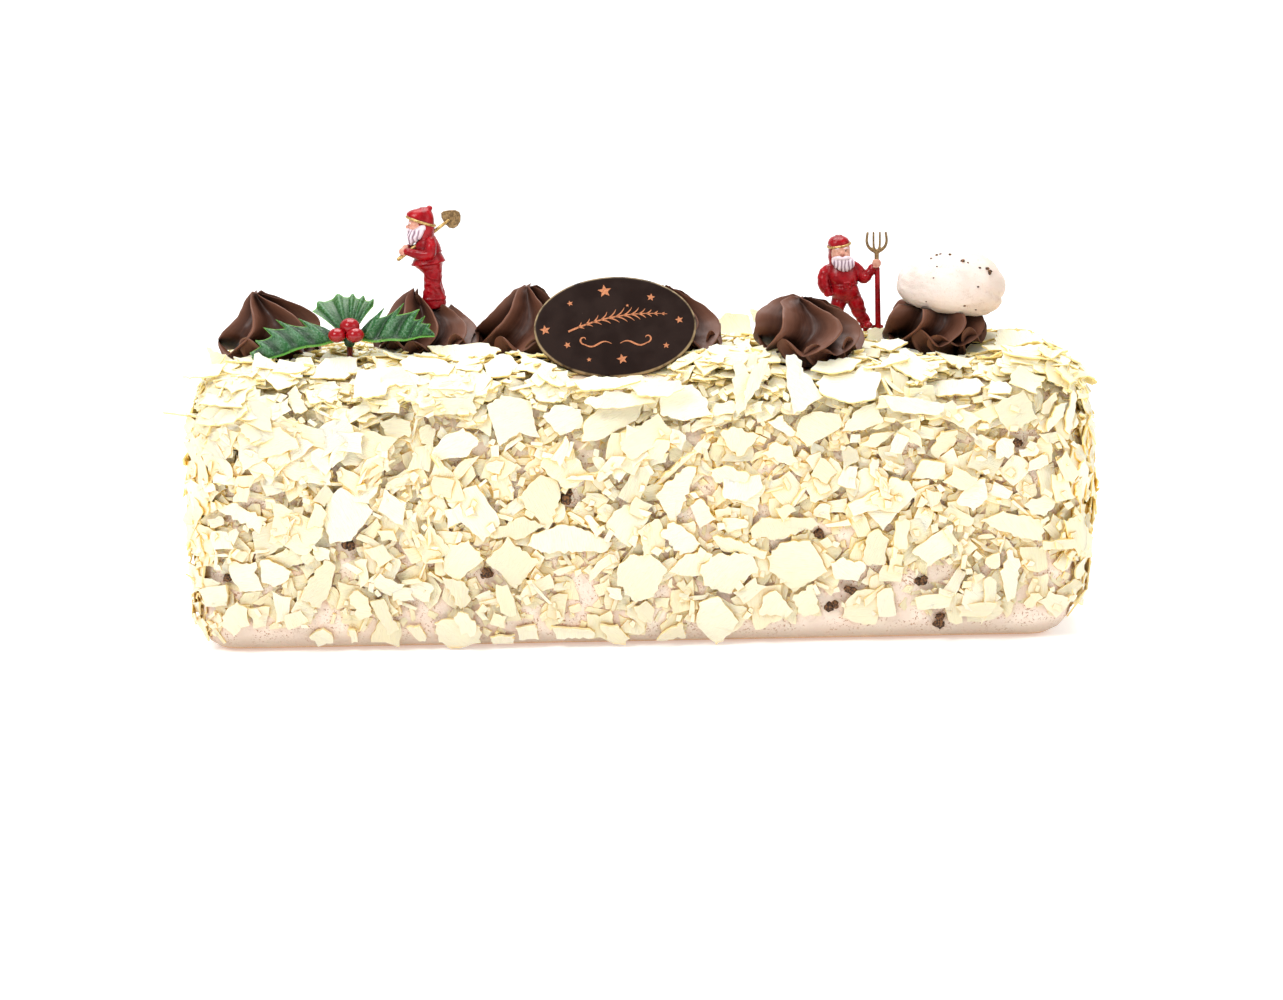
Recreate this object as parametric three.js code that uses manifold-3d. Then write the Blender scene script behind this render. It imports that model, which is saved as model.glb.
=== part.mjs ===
// A meringue yule log: a loaf of meringue and whipped cream, coated with white chocolate shavings.
// On top stand six piped chocolate rosettes, a meringue shell, a chocolate plaque, a holly sprig
// and two little gnome picks. Millimetres, +Z up. The origin is the middle of the flat underside,
// +X runs along the log and -Y is its front.
import * as THREE from "three";
import { mergeVertices } from "three/addons/utils/BufferGeometryUtils.js";
import Module from "manifold-3d";

const wasm = await Module();
wasm.setup();

// Driving dimensions of the loaf
const HALF_LENGTH = 160;
const HALF_WIDTH = 49;
const CORNER_RADIUS = 17;
const LEAST_CORNER = 1.5;
const TOP = 96.5;
// Side profile from the flat foot to the top: how far each level is drawn in, and its height
const PROFILE = [
  [8, 0],
  [4, 2.5],
  [1.8, 7],
  [0.8, 18],
  [0, 40],
  [0.6, 62],
  [2, 78],
  [4.5, 87],
  [9, 92.5],
  [16, 95.4],
  [26, 96.3],
  [36, TOP],
];
const RELIEF = 1.1; // soft hollows and swells in the cream

// Toppings stand this far above what carries them
const GAP = 0.3;
const SEAT = TOP + GAP;

const CHOCOLATE = 0x5c3b30;
const materials = {
  coating: new THREE.MeshStandardMaterial({ color: 0xf6efd2, roughness: 0.6 }),
  ganache: new THREE.MeshStandardMaterial({ color: CHOCOLATE, roughness: 0.42 }),
  meringue: new THREE.MeshStandardMaterial({ color: 0xf7e3d4, roughness: 0.85 }),
  plaque: new THREE.MeshStandardMaterial({ color: 0x33231f, roughness: 0.35 }),
  leaf: new THREE.MeshStandardMaterial({ color: 0x2f6b45, roughness: 0.4 }),
  berry: new THREE.MeshStandardMaterial({ color: 0xb8202e, roughness: 0.25 }),
  gnome: new THREE.MeshStandardMaterial({ color: 0xa81c28, roughness: 0.4 }),
};

// Seeded draw between two limits (mulberry32)
function draws(seed) {
  let state = seed;
  return (low, high) => {
    state = (state + 0x6d2b79f5) | 0;
    let mixed = Math.imul(state ^ (state >>> 15), 1 | state);
    mixed = (mixed + Math.imul(mixed ^ (mixed >>> 7), 61 | mixed)) ^ mixed;
    return low + (high - low) * (((mixed ^ (mixed >>> 14)) >>> 0) / 2 ** 32);
  };
}

// Closed geometry to solid, and back
function toSolid(geometry, matrix = new THREE.Matrix4()) {
  const plain = new THREE.BufferGeometry();
  const source = geometry.index ? geometry.toNonIndexed() : geometry;
  plain.setAttribute("position", source.getAttribute("position").clone());
  plain.applyMatrix4(matrix);
  const merged = mergeVertices(plain, 1e-4);
  const vertProperties = new Float32Array(merged.attributes.position.array);
  const triVerts = new Uint32Array(merged.index.array);
  return new wasm.Manifold(new wasm.Mesh({ numProp: 3, vertProperties, triVerts }));
}

function toGeometry(solid) {
  const mesh = solid.getMesh();
  const geometry = new THREE.BufferGeometry();
  geometry.setAttribute("position", new THREE.BufferAttribute(new Float32Array(mesh.vertProperties), 3));
  geometry.setIndex(new THREE.BufferAttribute(new Uint32Array(mesh.triVerts), 1));
  geometry.computeVertexNormals();
  return geometry;
}

// Joins solids, drops details finer than the tolerance, and keeps the largest body, so that no scrap is left
const TOLERANCE = 0.12;
function fuse(solids) {
  const whole = wasm.Manifold.union(solids).simplify(TOLERANCE);
  return whole.decompose().reduce((best, body) => (body.volume() > best.volume() ? body : best));
}

function placed(position, rotation = [0, 0, 0], scale = [1, 1, 1]) {
  return new THREE.Matrix4().compose(
    new THREE.Vector3(...position),
    new THREE.Quaternion().setFromEuler(new THREE.Euler(...rotation)),
    new THREE.Vector3(...scale),
  );
}

// A round bar that follows a few points, with a radius at each
function tube(points, radii, sides = 6) {
  const spots = points.map((point) => new THREE.Vector3(...point));
  const rings = spots.map((spot, i) => {
    const ahead = spots[Math.min(i + 1, spots.length - 1)];
    const along = ahead.clone().sub(spots[Math.max(i - 1, 0)]).normalize();
    const aside = new THREE.Vector3(Math.abs(along.z) > 0.7 ? 1 : 0, 0, Math.abs(along.z) > 0.7 ? 0 : 1);
    const first = aside.addScaledVector(along, -aside.dot(along)).normalize();
    const second = new THREE.Vector3().crossVectors(along, first);
    return Array.from({ length: sides }, (_, k) => {
      const angle = (k / sides) * Math.PI * 2;
      const out = first.clone().multiplyScalar(Math.cos(angle)).addScaledVector(second, Math.sin(angle));
      return spot.clone().addScaledVector(out, radii[i]).toArray();
    });
  });
  return toSolid(loft(rings, fanFill));
}

// A body of upright ovals: each level has a middle, radii to the side and to the front, and a slant
function stack(levels, sides = 8) {
  const rings = levels.map(([x, y, z, wide, deep, slant = 0]) =>
    Array.from({ length: sides }, (_, k) => {
      const angle = ((k + 0.5) / sides) * Math.PI * 2;
      const ahead = Math.sin(angle) * deep;
      return [x + Math.cos(angle) * wide, y + ahead, z + ahead * slant];
    }),
  );
  return toSolid(loft(rings));
}

function ball(centre, radii, around = 8, down = 6) {
  return toSolid(new THREE.SphereGeometry(1, around, down), placed(centre, [0, 0, 0], radii));
}

// Outline of one level of the loaf: a rounded rectangle, drawn in by inset, with its outward direction
const ARC_STEPS = 4;
const LONG_STEPS = 12;
const SHORT_STEPS = 4;
function planOutline(inset) {
  const radius = Math.max(CORNER_RADIUS - inset, LEAST_CORNER);
  const reachX = HALF_LENGTH - inset - radius;
  const reachY = HALF_WIDTH - inset - radius;
  const points = [];
  [[1, 1], [-1, 1], [-1, -1], [1, -1]].forEach(([signX, signY], quarter) => {
    for (let i = 0; i <= ARC_STEPS; i++) {
      const angle = ((quarter + i / ARC_STEPS) * Math.PI) / 2;
      const out = [Math.cos(angle), Math.sin(angle)];
      points.push({ x: signX * reachX + radius * out[0], y: signY * reachY + radius * out[1], out });
    }
  });
  const whole = [];
  const perCorner = ARC_STEPS + 1;
  points.forEach((point, i) => {
    whole.push(point);
    if (i % perCorner !== ARC_STEPS) return;
    const next = points[(i + 1) % points.length];
    const steps = (Math.floor(i / perCorner) % 2 === 0 ? LONG_STEPS : SHORT_STEPS);
    for (let k = 1; k < steps; k++) {
      const share = k / steps;
      const x = point.x + (next.x - point.x) * share;
      const y = point.y + (next.y - point.y) * share;
      whole.push({ x, y, out: point.out });
    }
  });
  return whole;
}

// How far the cream swells at a place on the side; none at the foot, on the top edge or on the top
function swell(x, y, z) {
  const side = Math.sin(Math.PI * THREE.MathUtils.clamp(z / 90, 0, 1));
  const along = Math.sin(x / 13 + z / 21) * Math.cos(z / 17 - x / 41);
  return RELIEF * side * (along + 0.5 * Math.sin(y / 11 + z / 15));
}

// Closes a row of rings of equal length, with the first and last filled
function flatFill(ring) {
  return THREE.ShapeUtils.triangulateShape(ring.map(([x, y]) => new THREE.Vector2(x, y)), []);
}
const fanFill = (ring) => ring.slice(2).map((_, i) => [0, i + 1, i + 2]);
function loft(rings, fill = flatFill) {
  const count = rings[0].length;
  const positions = rings.flat(2);
  const index = [];
  for (let level = 0; level + 1 < rings.length; level++) {
    for (let i = 0; i < count; i++) {
      const j = (i + 1) % count;
      const a = level * count + i;
      const b = level * count + j;
      index.push(a, b, b + count, a, b + count, a + count);
    }
  }
  const last = (rings.length - 1) * count;
  fill(rings[0]).forEach(([a, b, c]) => index.push(a, c, b));
  fill(rings.at(-1)).forEach(([a, b, c]) => index.push(last + a, last + b, last + c));
  const geometry = new THREE.BufferGeometry();
  geometry.setAttribute("position", new THREE.Float32BufferAttribute(positions, 3));
  geometry.setIndex(index);
  return geometry;
}

function loaf() {
  const rings = PROFILE.map(([inset, z]) =>
    planOutline(inset).map(({ x, y, out }) => {
      const push = swell(x, y, z);
      return [x + out[0] * push, y + out[1] * push, z];
    }),
  );
  return toSolid(loft(rings));
}

// Place and outward direction on the side of the loaf, at a share of the way round it and a height
function insetAt(z) {
  const above = PROFILE.findIndex(([, height]) => height >= z);
  if (above <= 0) return PROFILE[0][0];
  const [insetLow, low] = PROFILE[above - 1];
  const [insetHigh, high] = PROFILE[above];
  return insetLow + ((insetHigh - insetLow) * (z - low)) / (high - low);
}

function onSide(around, z) {
  const inset = insetAt(z);
  const outline = planOutline(inset);
  const lengths = outline.map((point, i) => {
    const next = outline[(i + 1) % outline.length];
    return Math.hypot(next.x - point.x, next.y - point.y);
  });
  let left = around * lengths.reduce((sum, length) => sum + length, 0);
  let i = 0;
  while (left > lengths[i]) left -= lengths[i++];
  const from = outline[i];
  const to = outline[(i + 1) % outline.length];
  const share = left / lengths[i];
  const x = from.x + (to.x - from.x) * share;
  const y = from.y + (to.y - from.y) * share;
  const out = [0, 1].map((axis) => from.out[axis] + (to.out[axis] - from.out[axis]) * share);
  const rise = insetAt(z + 1) - insetAt(z - 1);
  const push = swell(x, y, z);
  return {
    point: new THREE.Vector3(x + out[0] * push, y + out[1] * push, z),
    normal: new THREE.Vector3(out[0], out[1], rise / 2).normalize(),
  };
}

function onTop(x, y) {
  const inset = Math.min(HALF_LENGTH - Math.abs(x), HALF_WIDTH - Math.abs(y));
  const level = PROFILE.findIndex(([drawnIn], i) => i > 7 && drawnIn >= inset);
  if (level < 0) return { point: new THREE.Vector3(x, y, TOP), normal: new THREE.Vector3(0, 0, 1) };
  const [insetLow, low] = PROFILE[level - 1];
  const [insetHigh, high] = PROFILE[level];
  const z = low + ((high - low) * (inset - insetLow)) / (insetHigh - insetLow);
  const normal = new THREE.Vector3(0, Math.sign(y) * 0.12, 1).normalize();
  return { point: new THREE.Vector3(x, y, z), normal };
}

// One shaving: a thin plate with a ragged outline, sunk on one side and standing proud on the other
const SHAVING_THICKNESS = 1.1;
function shaving({ point, normal }, { length, width, turn, lift, corners = 5 }, draw) {
  const outline = [];
  for (let i = 0; i < corners; i++) {
    const angle = ((i + 0.5 + draw(-0.25, 0.25)) / corners) * Math.PI * 2;
    const reach = draw(0.85, 1.1) / 2;
    outline.push(new THREE.Vector2(Math.cos(angle) * length * reach, Math.sin(angle) * width * reach));
  }
  const plate = new THREE.ExtrudeGeometry(new THREE.Shape(outline), {
    depth: SHAVING_THICKNESS,
    bevelEnabled: false,
    steps: 1,
  });
  const upward = Math.abs(normal.z) > 0.9 ? new THREE.Vector3(1, 0, 0) : new THREE.Vector3(0, 0, 1);
  const across = new THREE.Vector3().crossVectors(upward, normal).normalize();
  const along = new THREE.Vector3().crossVectors(normal, across);
  const place = new THREE.Matrix4()
    .makeBasis(across, along, normal)
    .setPosition(point.clone().addScaledVector(normal, (Math.sin(lift) * width) / 2 - 1.2));
  place.multiply(new THREE.Matrix4().makeRotationZ(turn));
  place.multiply(new THREE.Matrix4().makeRotationX(lift));
  return toSolid(plate, place);
}

// The largest shavings of the front, as they lie: place along the log, height, length, width, turn and lift
const FRONT_SHAVINGS = [
  [-37, 54, 26, 20, 1.1, 0.22],
  [-45, 32, 17, 15, 0.7, 0.2],
  [-21, 38, 30, 10, -0.12, 0.3],
  [8, 24, 21, 18, 1.2, 0.2],
  [25, 12, 24, 19, 1.35, 0.25],
  [36, 27, 22, 17, 0.5, 0.2],
  [53, 30, 22, 20, 0.3, 0.18],
  [47, 43, 27, 9, 0.05, 0.25],
  [9, 55, 25, 10, 0.95, 0.45],
  [-64, 9, 19, 11, 0.4, 0.3],
  [-28, 8, 21, 7, -0.1, 0.3],
  [-100, 49, 18, 15, 1.1, 0.2],
  [-107, 32, 19, 9, 0.95, 0.3],
  [-133, 15, 16, 11, 1.1, 0.2],
  [-88, 17, 18, 8, -1.1, 0.3],
  [-84, 40, 17, 13, -0.4, 0.25],
  [-128, 62, 18, 14, 0.6, 0.25],
  [-118, 71, 17, 12, 1.2, 0.3],
  [-90, 74, 20, 14, -0.6, 0.3],
  [-60, 70, 19, 13, 1.2, 0.35],
  [-48, 77, 22, 12, 1.4, 0.4],
  [-18, 74, 25, 13, 0.9, 0.4],
  [11, 79, 22, 16, 1.5, 0.35],
  [34, 72, 19, 14, 0.2, 0.3],
  [58, 73, 18, 12, -0.5, 0.3],
  [84, 74, 25, 9, -0.1, 0.3],
  [106, 78, 22, 10, 0.1, 0.35],
  [128, 76, 19, 13, 1.0, 0.5],
  [103, 66, 17, 12, 0.6, 0.4],
  [80, 54, 22, 14, 0.1, 0.25],
  [64, 61, 17, 14, 0.9, 0.3],
  [118, 62, 15, 13, 1.4, 0.4],
  [136, 55, 17, 12, 0.7, 0.3],
  [112, 43, 24, 10, -0.25, 0.2],
  [90, 36, 16, 10, 1.4, 0.35],
  [121, 27, 20, 9, -1.3, 0.3],
  [101, 22, 16, 10, 0.3, 0.25],
  [138, 38, 14, 10, 1.5, 0.3],
  [68, 15, 17, 11, 0.9, 0.25],
  [-8, 12, 16, 11, 0.9, 0.3],
];

// The rest of the coat: rounds of shavings from large to small, spread evenly by two steps that
// never fall into line (powers of the plastic number)
const COAT_ROUNDS = [
  { count: 44, length: [17, 23], width: [9, 14], lift: [0.18, 0.42] },
  { count: 54, length: [11, 16], width: [7, 10], lift: [0.25, 0.6] },
];
const TOP_SHAVINGS = 44;
const EVEN = [0.7548776662, 0.569840291];
const OFF_GROUND = 1.5;
const SIDE_LOW = 9;
const SIDE_HIGH = 90;
const FRONT_LEFT = 0.5; // share of the way round at which the front begins, and its end
const FRONT_RIGHT = 0.87;

// Toppings and their places: foot on the top of the loaf, size and the way they are piped
const ROSETTES = [
  { name: "rosette_1", x: -129.5, y: -9, radius: 18.4, height: 27, twist: 1.9, turn: 0.4, lean: [-4, -2] },
  { name: "rosette_2", x: -75.5, y: -7, radius: 17.8, height: 27, twist: 1.8, turn: 1.3, lean: [-2.6, -5.5] },
  { name: "rosette_3", x: -40.5, y: -7, radius: 17.6, height: 27.5, twist: 1.7, turn: 0.9, lean: [3, 0] },
  { name: "rosette_4", x: 12.5, y: -9, radius: 17.8, height: 26.5, twist: 1.9, turn: 0.2, lean: [1, 0] },
  { name: "rosette_5", x: 59.8, y: -24, radius: 19.6, height: 24, twist: 2.1, turn: 0.7, lean: [-4, -1] },
  { name: "rosette_6", x: 107, y: -6, radius: 18.8, height: 24, twist: 1.8, turn: 0.1, lean: [0, 0] },
];
const GNOME_SHOVEL = { x: -73.4, y: -5, z: 116.4 };
const GNOME_FORK = { x: 76.5, y: 12, z: 104.2 };
const HOLLY = { x: -101.5, y: -27, z: 109.5 };
const PLAQUE = {
  x: -8,
  footY: -37,
  footZ: 94.9,
  length: 57,
  height: 38.5,
  thickness: 2.4,
  lean: 0.54,
  turn: 0.02,
};

// Clear discs on the top, where no shaving may reach: x, y and radius
const CLEAR_DISCS = [
  ...ROSETTES.map(({ x, y, radius }) => [x, y, radius + 1]),
  [GNOME_FORK.x + 7, GNOME_FORK.y, 3],
  [HOLLY.x, HOLLY.y, 4],
  [-30, -30, 11],
  [-9, -30, 12],
  [13, -30, 11],
];
function isClear(x, y, reach) {
  return CLEAR_DISCS.every(([discX, discY, radius]) => Math.hypot(x - discX, y - discY) > radius + reach);
}

function coat() {
  const draw = draws(41);
  const plates = FRONT_SHAVINGS.map(([x, z, length, width, turn, lift]) => {
    const around = FRONT_LEFT + (FRONT_RIGHT - FRONT_LEFT) * ((x + HALF_LENGTH) / (2 * HALF_LENGTH));
    const place = onSide(around, Math.max(z, length / 2 + OFF_GROUND));
    place.point.x = x;
    return shaving(place, { length, width, turn, lift }, draw);
  });
  let step = 0;
  for (const { count, length, width, lift } of COAT_ROUNDS) {
    for (let k = 0; k < count; k++) {
      step += 1;
      const around = (step * EVEN[0]) % 1;
      const height = SIDE_LOW + (SIDE_HIGH - SIDE_LOW) * ((step * EVEN[1]) % 1);
      const size = {
        length: draw(...length),
        width: draw(...width),
        turn: draw(0, Math.PI),
        lift: draw(...lift),
      };
      const place = onSide(around, Math.max(height, size.length / 2 + OFF_GROUND));
      plates.push(shaving(place, { ...size, corners: 4 }, draw));
    }
  }
  for (let k = 1; k <= TOP_SHAVINGS; k++) {
    const x = (HALF_LENGTH - 14) * (2 * ((k * EVEN[0]) % 1) - 1);
    const y = (HALF_WIDTH - 8) * (2 * ((k * EVEN[1]) % 1) - 1);
    const size = { length: draw(10, 20), width: draw(7, 12), turn: draw(0, Math.PI), lift: draw(0.12, 0.3) };
    if (isClear(x, y, size.length / 2)) plates.push(shaving(onTop(x, y), { ...size, corners: 4 }, draw));
  }
  return plates;
}

// The big shards that stand up on the top, most along its back edge: x, y, length, height, turn and lean
const STANDING_SHARDS = [
  [88, 17, 9, 8, 0.05, -0.2],
  [37, 40, 22, 15, 0.1, -0.3],
  [-14, 38, 16, 11, -0.2, -0.4],
  [132, 34, 18, 9, 0.15, -0.5],
];
function standingShard([x, y, length, height, turn, lean]) {
  const outline = [
    [-0.5, -0.5],
    [0.45, -0.5],
    [0.5, 0.4],
    [0.1, 0.5],
    [-0.46, 0.44],
  ].map(([along, up]) => new THREE.Vector2(along * length, up * height));
  const plate = new THREE.ExtrudeGeometry(new THREE.Shape(outline), {
    depth: SHAVING_THICKNESS,
    bevelEnabled: false,
  });
  return toSolid(plate, placed([x, y, TOP + height / 2 - 2.5], [Math.PI / 2 + lean, 0, turn]));
}

// Holes for the picks, a little wider than the spikes
const SPIKE_RADIUS = 1.2;
const SPIKE_CLEARANCE = 0.4;
const SPIKE_DEPTH = 12;
const HOLE_DEPTH = SPIKE_DEPTH + 1;
function pickHole(x, y) {
  const radius = SPIKE_RADIUS + SPIKE_CLEARANCE;
  return tube([[x, y, TOP - HOLE_DEPTH], [x, y, TOP + 8]], [radius, radius], 8);
}

function cake() {
  const whole = fuse([loaf(), ...coat(), ...STANDING_SHARDS.map(standingShard)]);
  const holes = [pickHole(GNOME_FORK.x + FORK_SPIKE_X, GNOME_FORK.y), pickHole(HOLLY.x, HOLLY.y)];
  return fuse([[...holes, plaque(GAP)].reduce((left, press) => left.subtract(press), whole)]);
}

// A rosette piped with a star nozzle: ridges wind up from a ruffled foot to a drawn-out peak
const RIDGES = 8;
const ROSETTE_PROFILE = [
  [0.8, 0],
  [0.98, 0.1],
  [1, 0.24],
  [0.93, 0.4],
  [0.77, 0.55],
  [0.56, 0.7],
  [0.34, 0.84],
  [0.14, 0.95],
];
const RIDGE_SHAPE = [
  [0, 0],
  [0.42, 0.6],
  [0.74, 1],
];
function rosette({ x, y, radius, height, twist, turn, lean }) {
  const rings = ROSETTE_PROFILE.map(([out, up]) => {
    const depth = 0.22 + 0.3 * up;
    const ring = [];
    for (let ridge = 0; ridge < RIDGES; ridge++) {
      for (const [along, crest] of RIDGE_SHAPE) {
        const angle = turn + ((ridge + along) / RIDGES) * Math.PI * 2 + twist * up;
        const reach = radius * out * (1 - depth * (1 - crest));
        ring.push([
          x + Math.cos(angle) * reach + lean[0] * up ** 2,
          y + Math.sin(angle) * reach + lean[1] * up ** 2,
          SEAT + up * height,
        ]);
      }
    }
    return ring;
  });
  return toSolid(loft(rings));
}

// The shell of baked meringue pressed on the last rosette: a puffed oval with a flat underside
const SHELL = { x: 112.3, y: -6, z: 121.3, radii: [19.6, 15, 12.6], flat: 0.62, tilt: 0.14 };
const SHELL_AROUND = 18;
const SHELL_DOWN = 10;
function shellPlace() {
  return placed([SHELL.x, SHELL.y, SHELL.z], [0, SHELL.tilt, 0]);
}

function shell() {
  const geometry = new THREE.SphereGeometry(1, SHELL_AROUND, SHELL_DOWN);
  geometry.rotateX(Math.PI / 2);
  const position = geometry.getAttribute("position");
  for (let i = 0; i < position.count; i++) {
    const [x, y, z] = [position.getX(i), position.getY(i), position.getZ(i)];
    const puff = 1 + 0.05 * Math.sin(3 * x + 1) * Math.cos(2.5 * y) + 0.04 * x * z;
    const low = Math.max(z, -SHELL.flat);
    position.setXYZ(i, x * puff * SHELL.radii[0], y * puff * SHELL.radii[1], low * SHELL.radii[2]);
  }
  return toSolid(geometry, shellPlace());
}

// What the shell presses flat: everything above its underside
function shellPress() {
  const slab = new THREE.BoxGeometry(60, 60, 40);
  slab.translate(0, 0, 20 - SHELL.flat * SHELL.radii[2] - GAP);
  return toSolid(slab, shellPlace());
}

// The oval plaque, which leans back on two rosettes
function plaque(grown = 0) {
  const bevel = 0.4;
  const oval = new THREE.Shape();
  const [reachX, reachY] = [PLAQUE.length / 2 - bevel + grown, PLAQUE.height / 2 - bevel + grown];
  oval.absellipse(0, 0, reachX, reachY, 0, Math.PI * 2);
  const geometry = new THREE.ExtrudeGeometry(oval, {
    depth: PLAQUE.thickness - 2 * bevel + 2 * grown,
    bevelThickness: bevel,
    bevelSize: bevel,
    bevelSegments: 1,
    curveSegments: 14,
  });
  geometry.translate(0, PLAQUE.height / 2, bevel - PLAQUE.thickness - grown);
  const place = placed([PLAQUE.x, PLAQUE.footY, PLAQUE.footZ], [Math.PI / 2 - PLAQUE.lean, 0, PLAQUE.turn]);
  return toSolid(geometry, place);
}

// A holly leaf: a thin wavy blade with spines along both edges, the same triangles on both faces
const LEAF_THICKNESS = 0.7;
const LEAF_SPINES = 4;
function leaf({ length, width, cup, droop, place }) {
  const stations = [];
  for (let i = 0; i <= LEAF_SPINES * 2; i++) {
    const along = i / (LEAF_SPINES * 2);
    const belly = Math.sin(Math.PI * (0.12 + 0.88 * along) ** 0.85);
    const reach = (width / 2) * Math.max(belly, 0.04) * (i % 2 === 0 ? 0.72 : 1.12);
    const lead = i % 2 === 0 ? 0 : 0.045;
    stations.push({ along, reach, lead });
  }
  const wave = (along, side) => 0.5 * Math.sin(along * 9 + side * 2);
  const level = (along, side) => cup * side * side - droop * along * along + wave(along, side);
  const positions = [];
  for (const face of [0, -LEAF_THICKNESS]) {
    for (const { along, reach, lead } of stations) {
      for (const side of [-1, 0, 1]) {
        const forward = along + (side === 0 ? 0 : lead);
        positions.push(forward * length, side * reach, level(along, side) + face);
      }
    }
  }
  const index = [];
  const perFace = stations.length * 3;
  const quad = (a, b, c, d) => index.push(a, b, c, a, c, d);
  for (let i = 0; i + 1 < stations.length; i++) {
    for (const half of [0, 1]) {
      const a = i * 3 + half;
      quad(a, a + 3, a + 4, a + 1);
      quad(perFace + a, perFace + a + 1, perFace + a + 4, perFace + a + 3);
    }
    quad(i * 3, perFace + i * 3, perFace + i * 3 + 3, i * 3 + 3);
    quad(i * 3 + 5, perFace + i * 3 + 5, perFace + i * 3 + 2, i * 3 + 2);
  }
  const end = perFace - 3;
  for (const half of [0, 1]) {
    quad(half, half + 1, perFace + half + 1, perFace + half);
    quad(end + half + 1, end + half, perFace + end + half, perFace + end + half + 1);
  }
  const geometry = new THREE.BufferGeometry();
  geometry.setAttribute("position", new THREE.Float32BufferAttribute(positions, 3));
  geometry.setIndex(index);
  return toSolid(geometry, place);
}

const HOLLY_LEAVES = [
  { length: 35, width: 14, cup: 2.2, droop: 4, turn: Math.PI + 0.22, rise: -0.16, roll: 0.75 },
  { length: 31, width: 14, cup: 2.2, droop: 0, turn: -0.22, rise: -0.02, roll: -0.75 },
  { length: 17, width: 17, cup: 1.6, droop: 1, turn: 1.5, rise: 0.65, roll: 0 },
];
const HUB_RADIUS = 2.6;
function hollyLeaves() {
  const hubEnds = [-0.9, 0.3].map((rise) => [HOLLY.x, HOLLY.y, HOLLY.z + rise]);
  const hub = tube(hubEnds, [HUB_RADIUS, HUB_RADIUS]);
  const blades = HOLLY_LEAVES.map(({ turn, rise, roll, ...shape }) => {
    const place = placed([HOLLY.x, HOLLY.y, HOLLY.z])
      .multiply(new THREE.Matrix4().makeRotationZ(turn))
      .multiply(new THREE.Matrix4().makeRotationY(-rise))
      .multiply(new THREE.Matrix4().makeRotationX(roll));
    return leaf({ ...shape, place });
  });
  return fuse([fuse([hub, ...blades]).subtract(wasm.Manifold.union(berriesOnStem(GAP)))]);
}

// Three berries on one spike, which runs down through the leaves into the loaf
const BERRIES = [
  [1.4, -2.2, 6.3, 3.5, 3],
  [-3.4, -3.6, 2.6, 3, 2.5],
  [2.9, -4, 2.5, 3.1, 2.6],
];
const BERRY_LIFT = 1.4;
function berriesOnStem(grown = 0) {
  const at = (x, y, z) => [HOLLY.x + x, HOLLY.y + y, HOLLY.z + z];
  const foot = [HOLLY.x, HOLLY.y, TOP - SPIKE_DEPTH];
  const radii = [0.7, SPIKE_RADIUS, 1.6].map((radius) => radius + grown);
  const balls = BERRIES.map(([x, y, z, wide, high]) =>
    ball(at(x, y, z + BERRY_LIFT), [wide + grown, wide + grown, high + grown], 9, 6),
  );
  return [...balls, tube([foot, at(0, 0, 1.2), at(0, -2, 4.6)], radii)];
}

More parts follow.
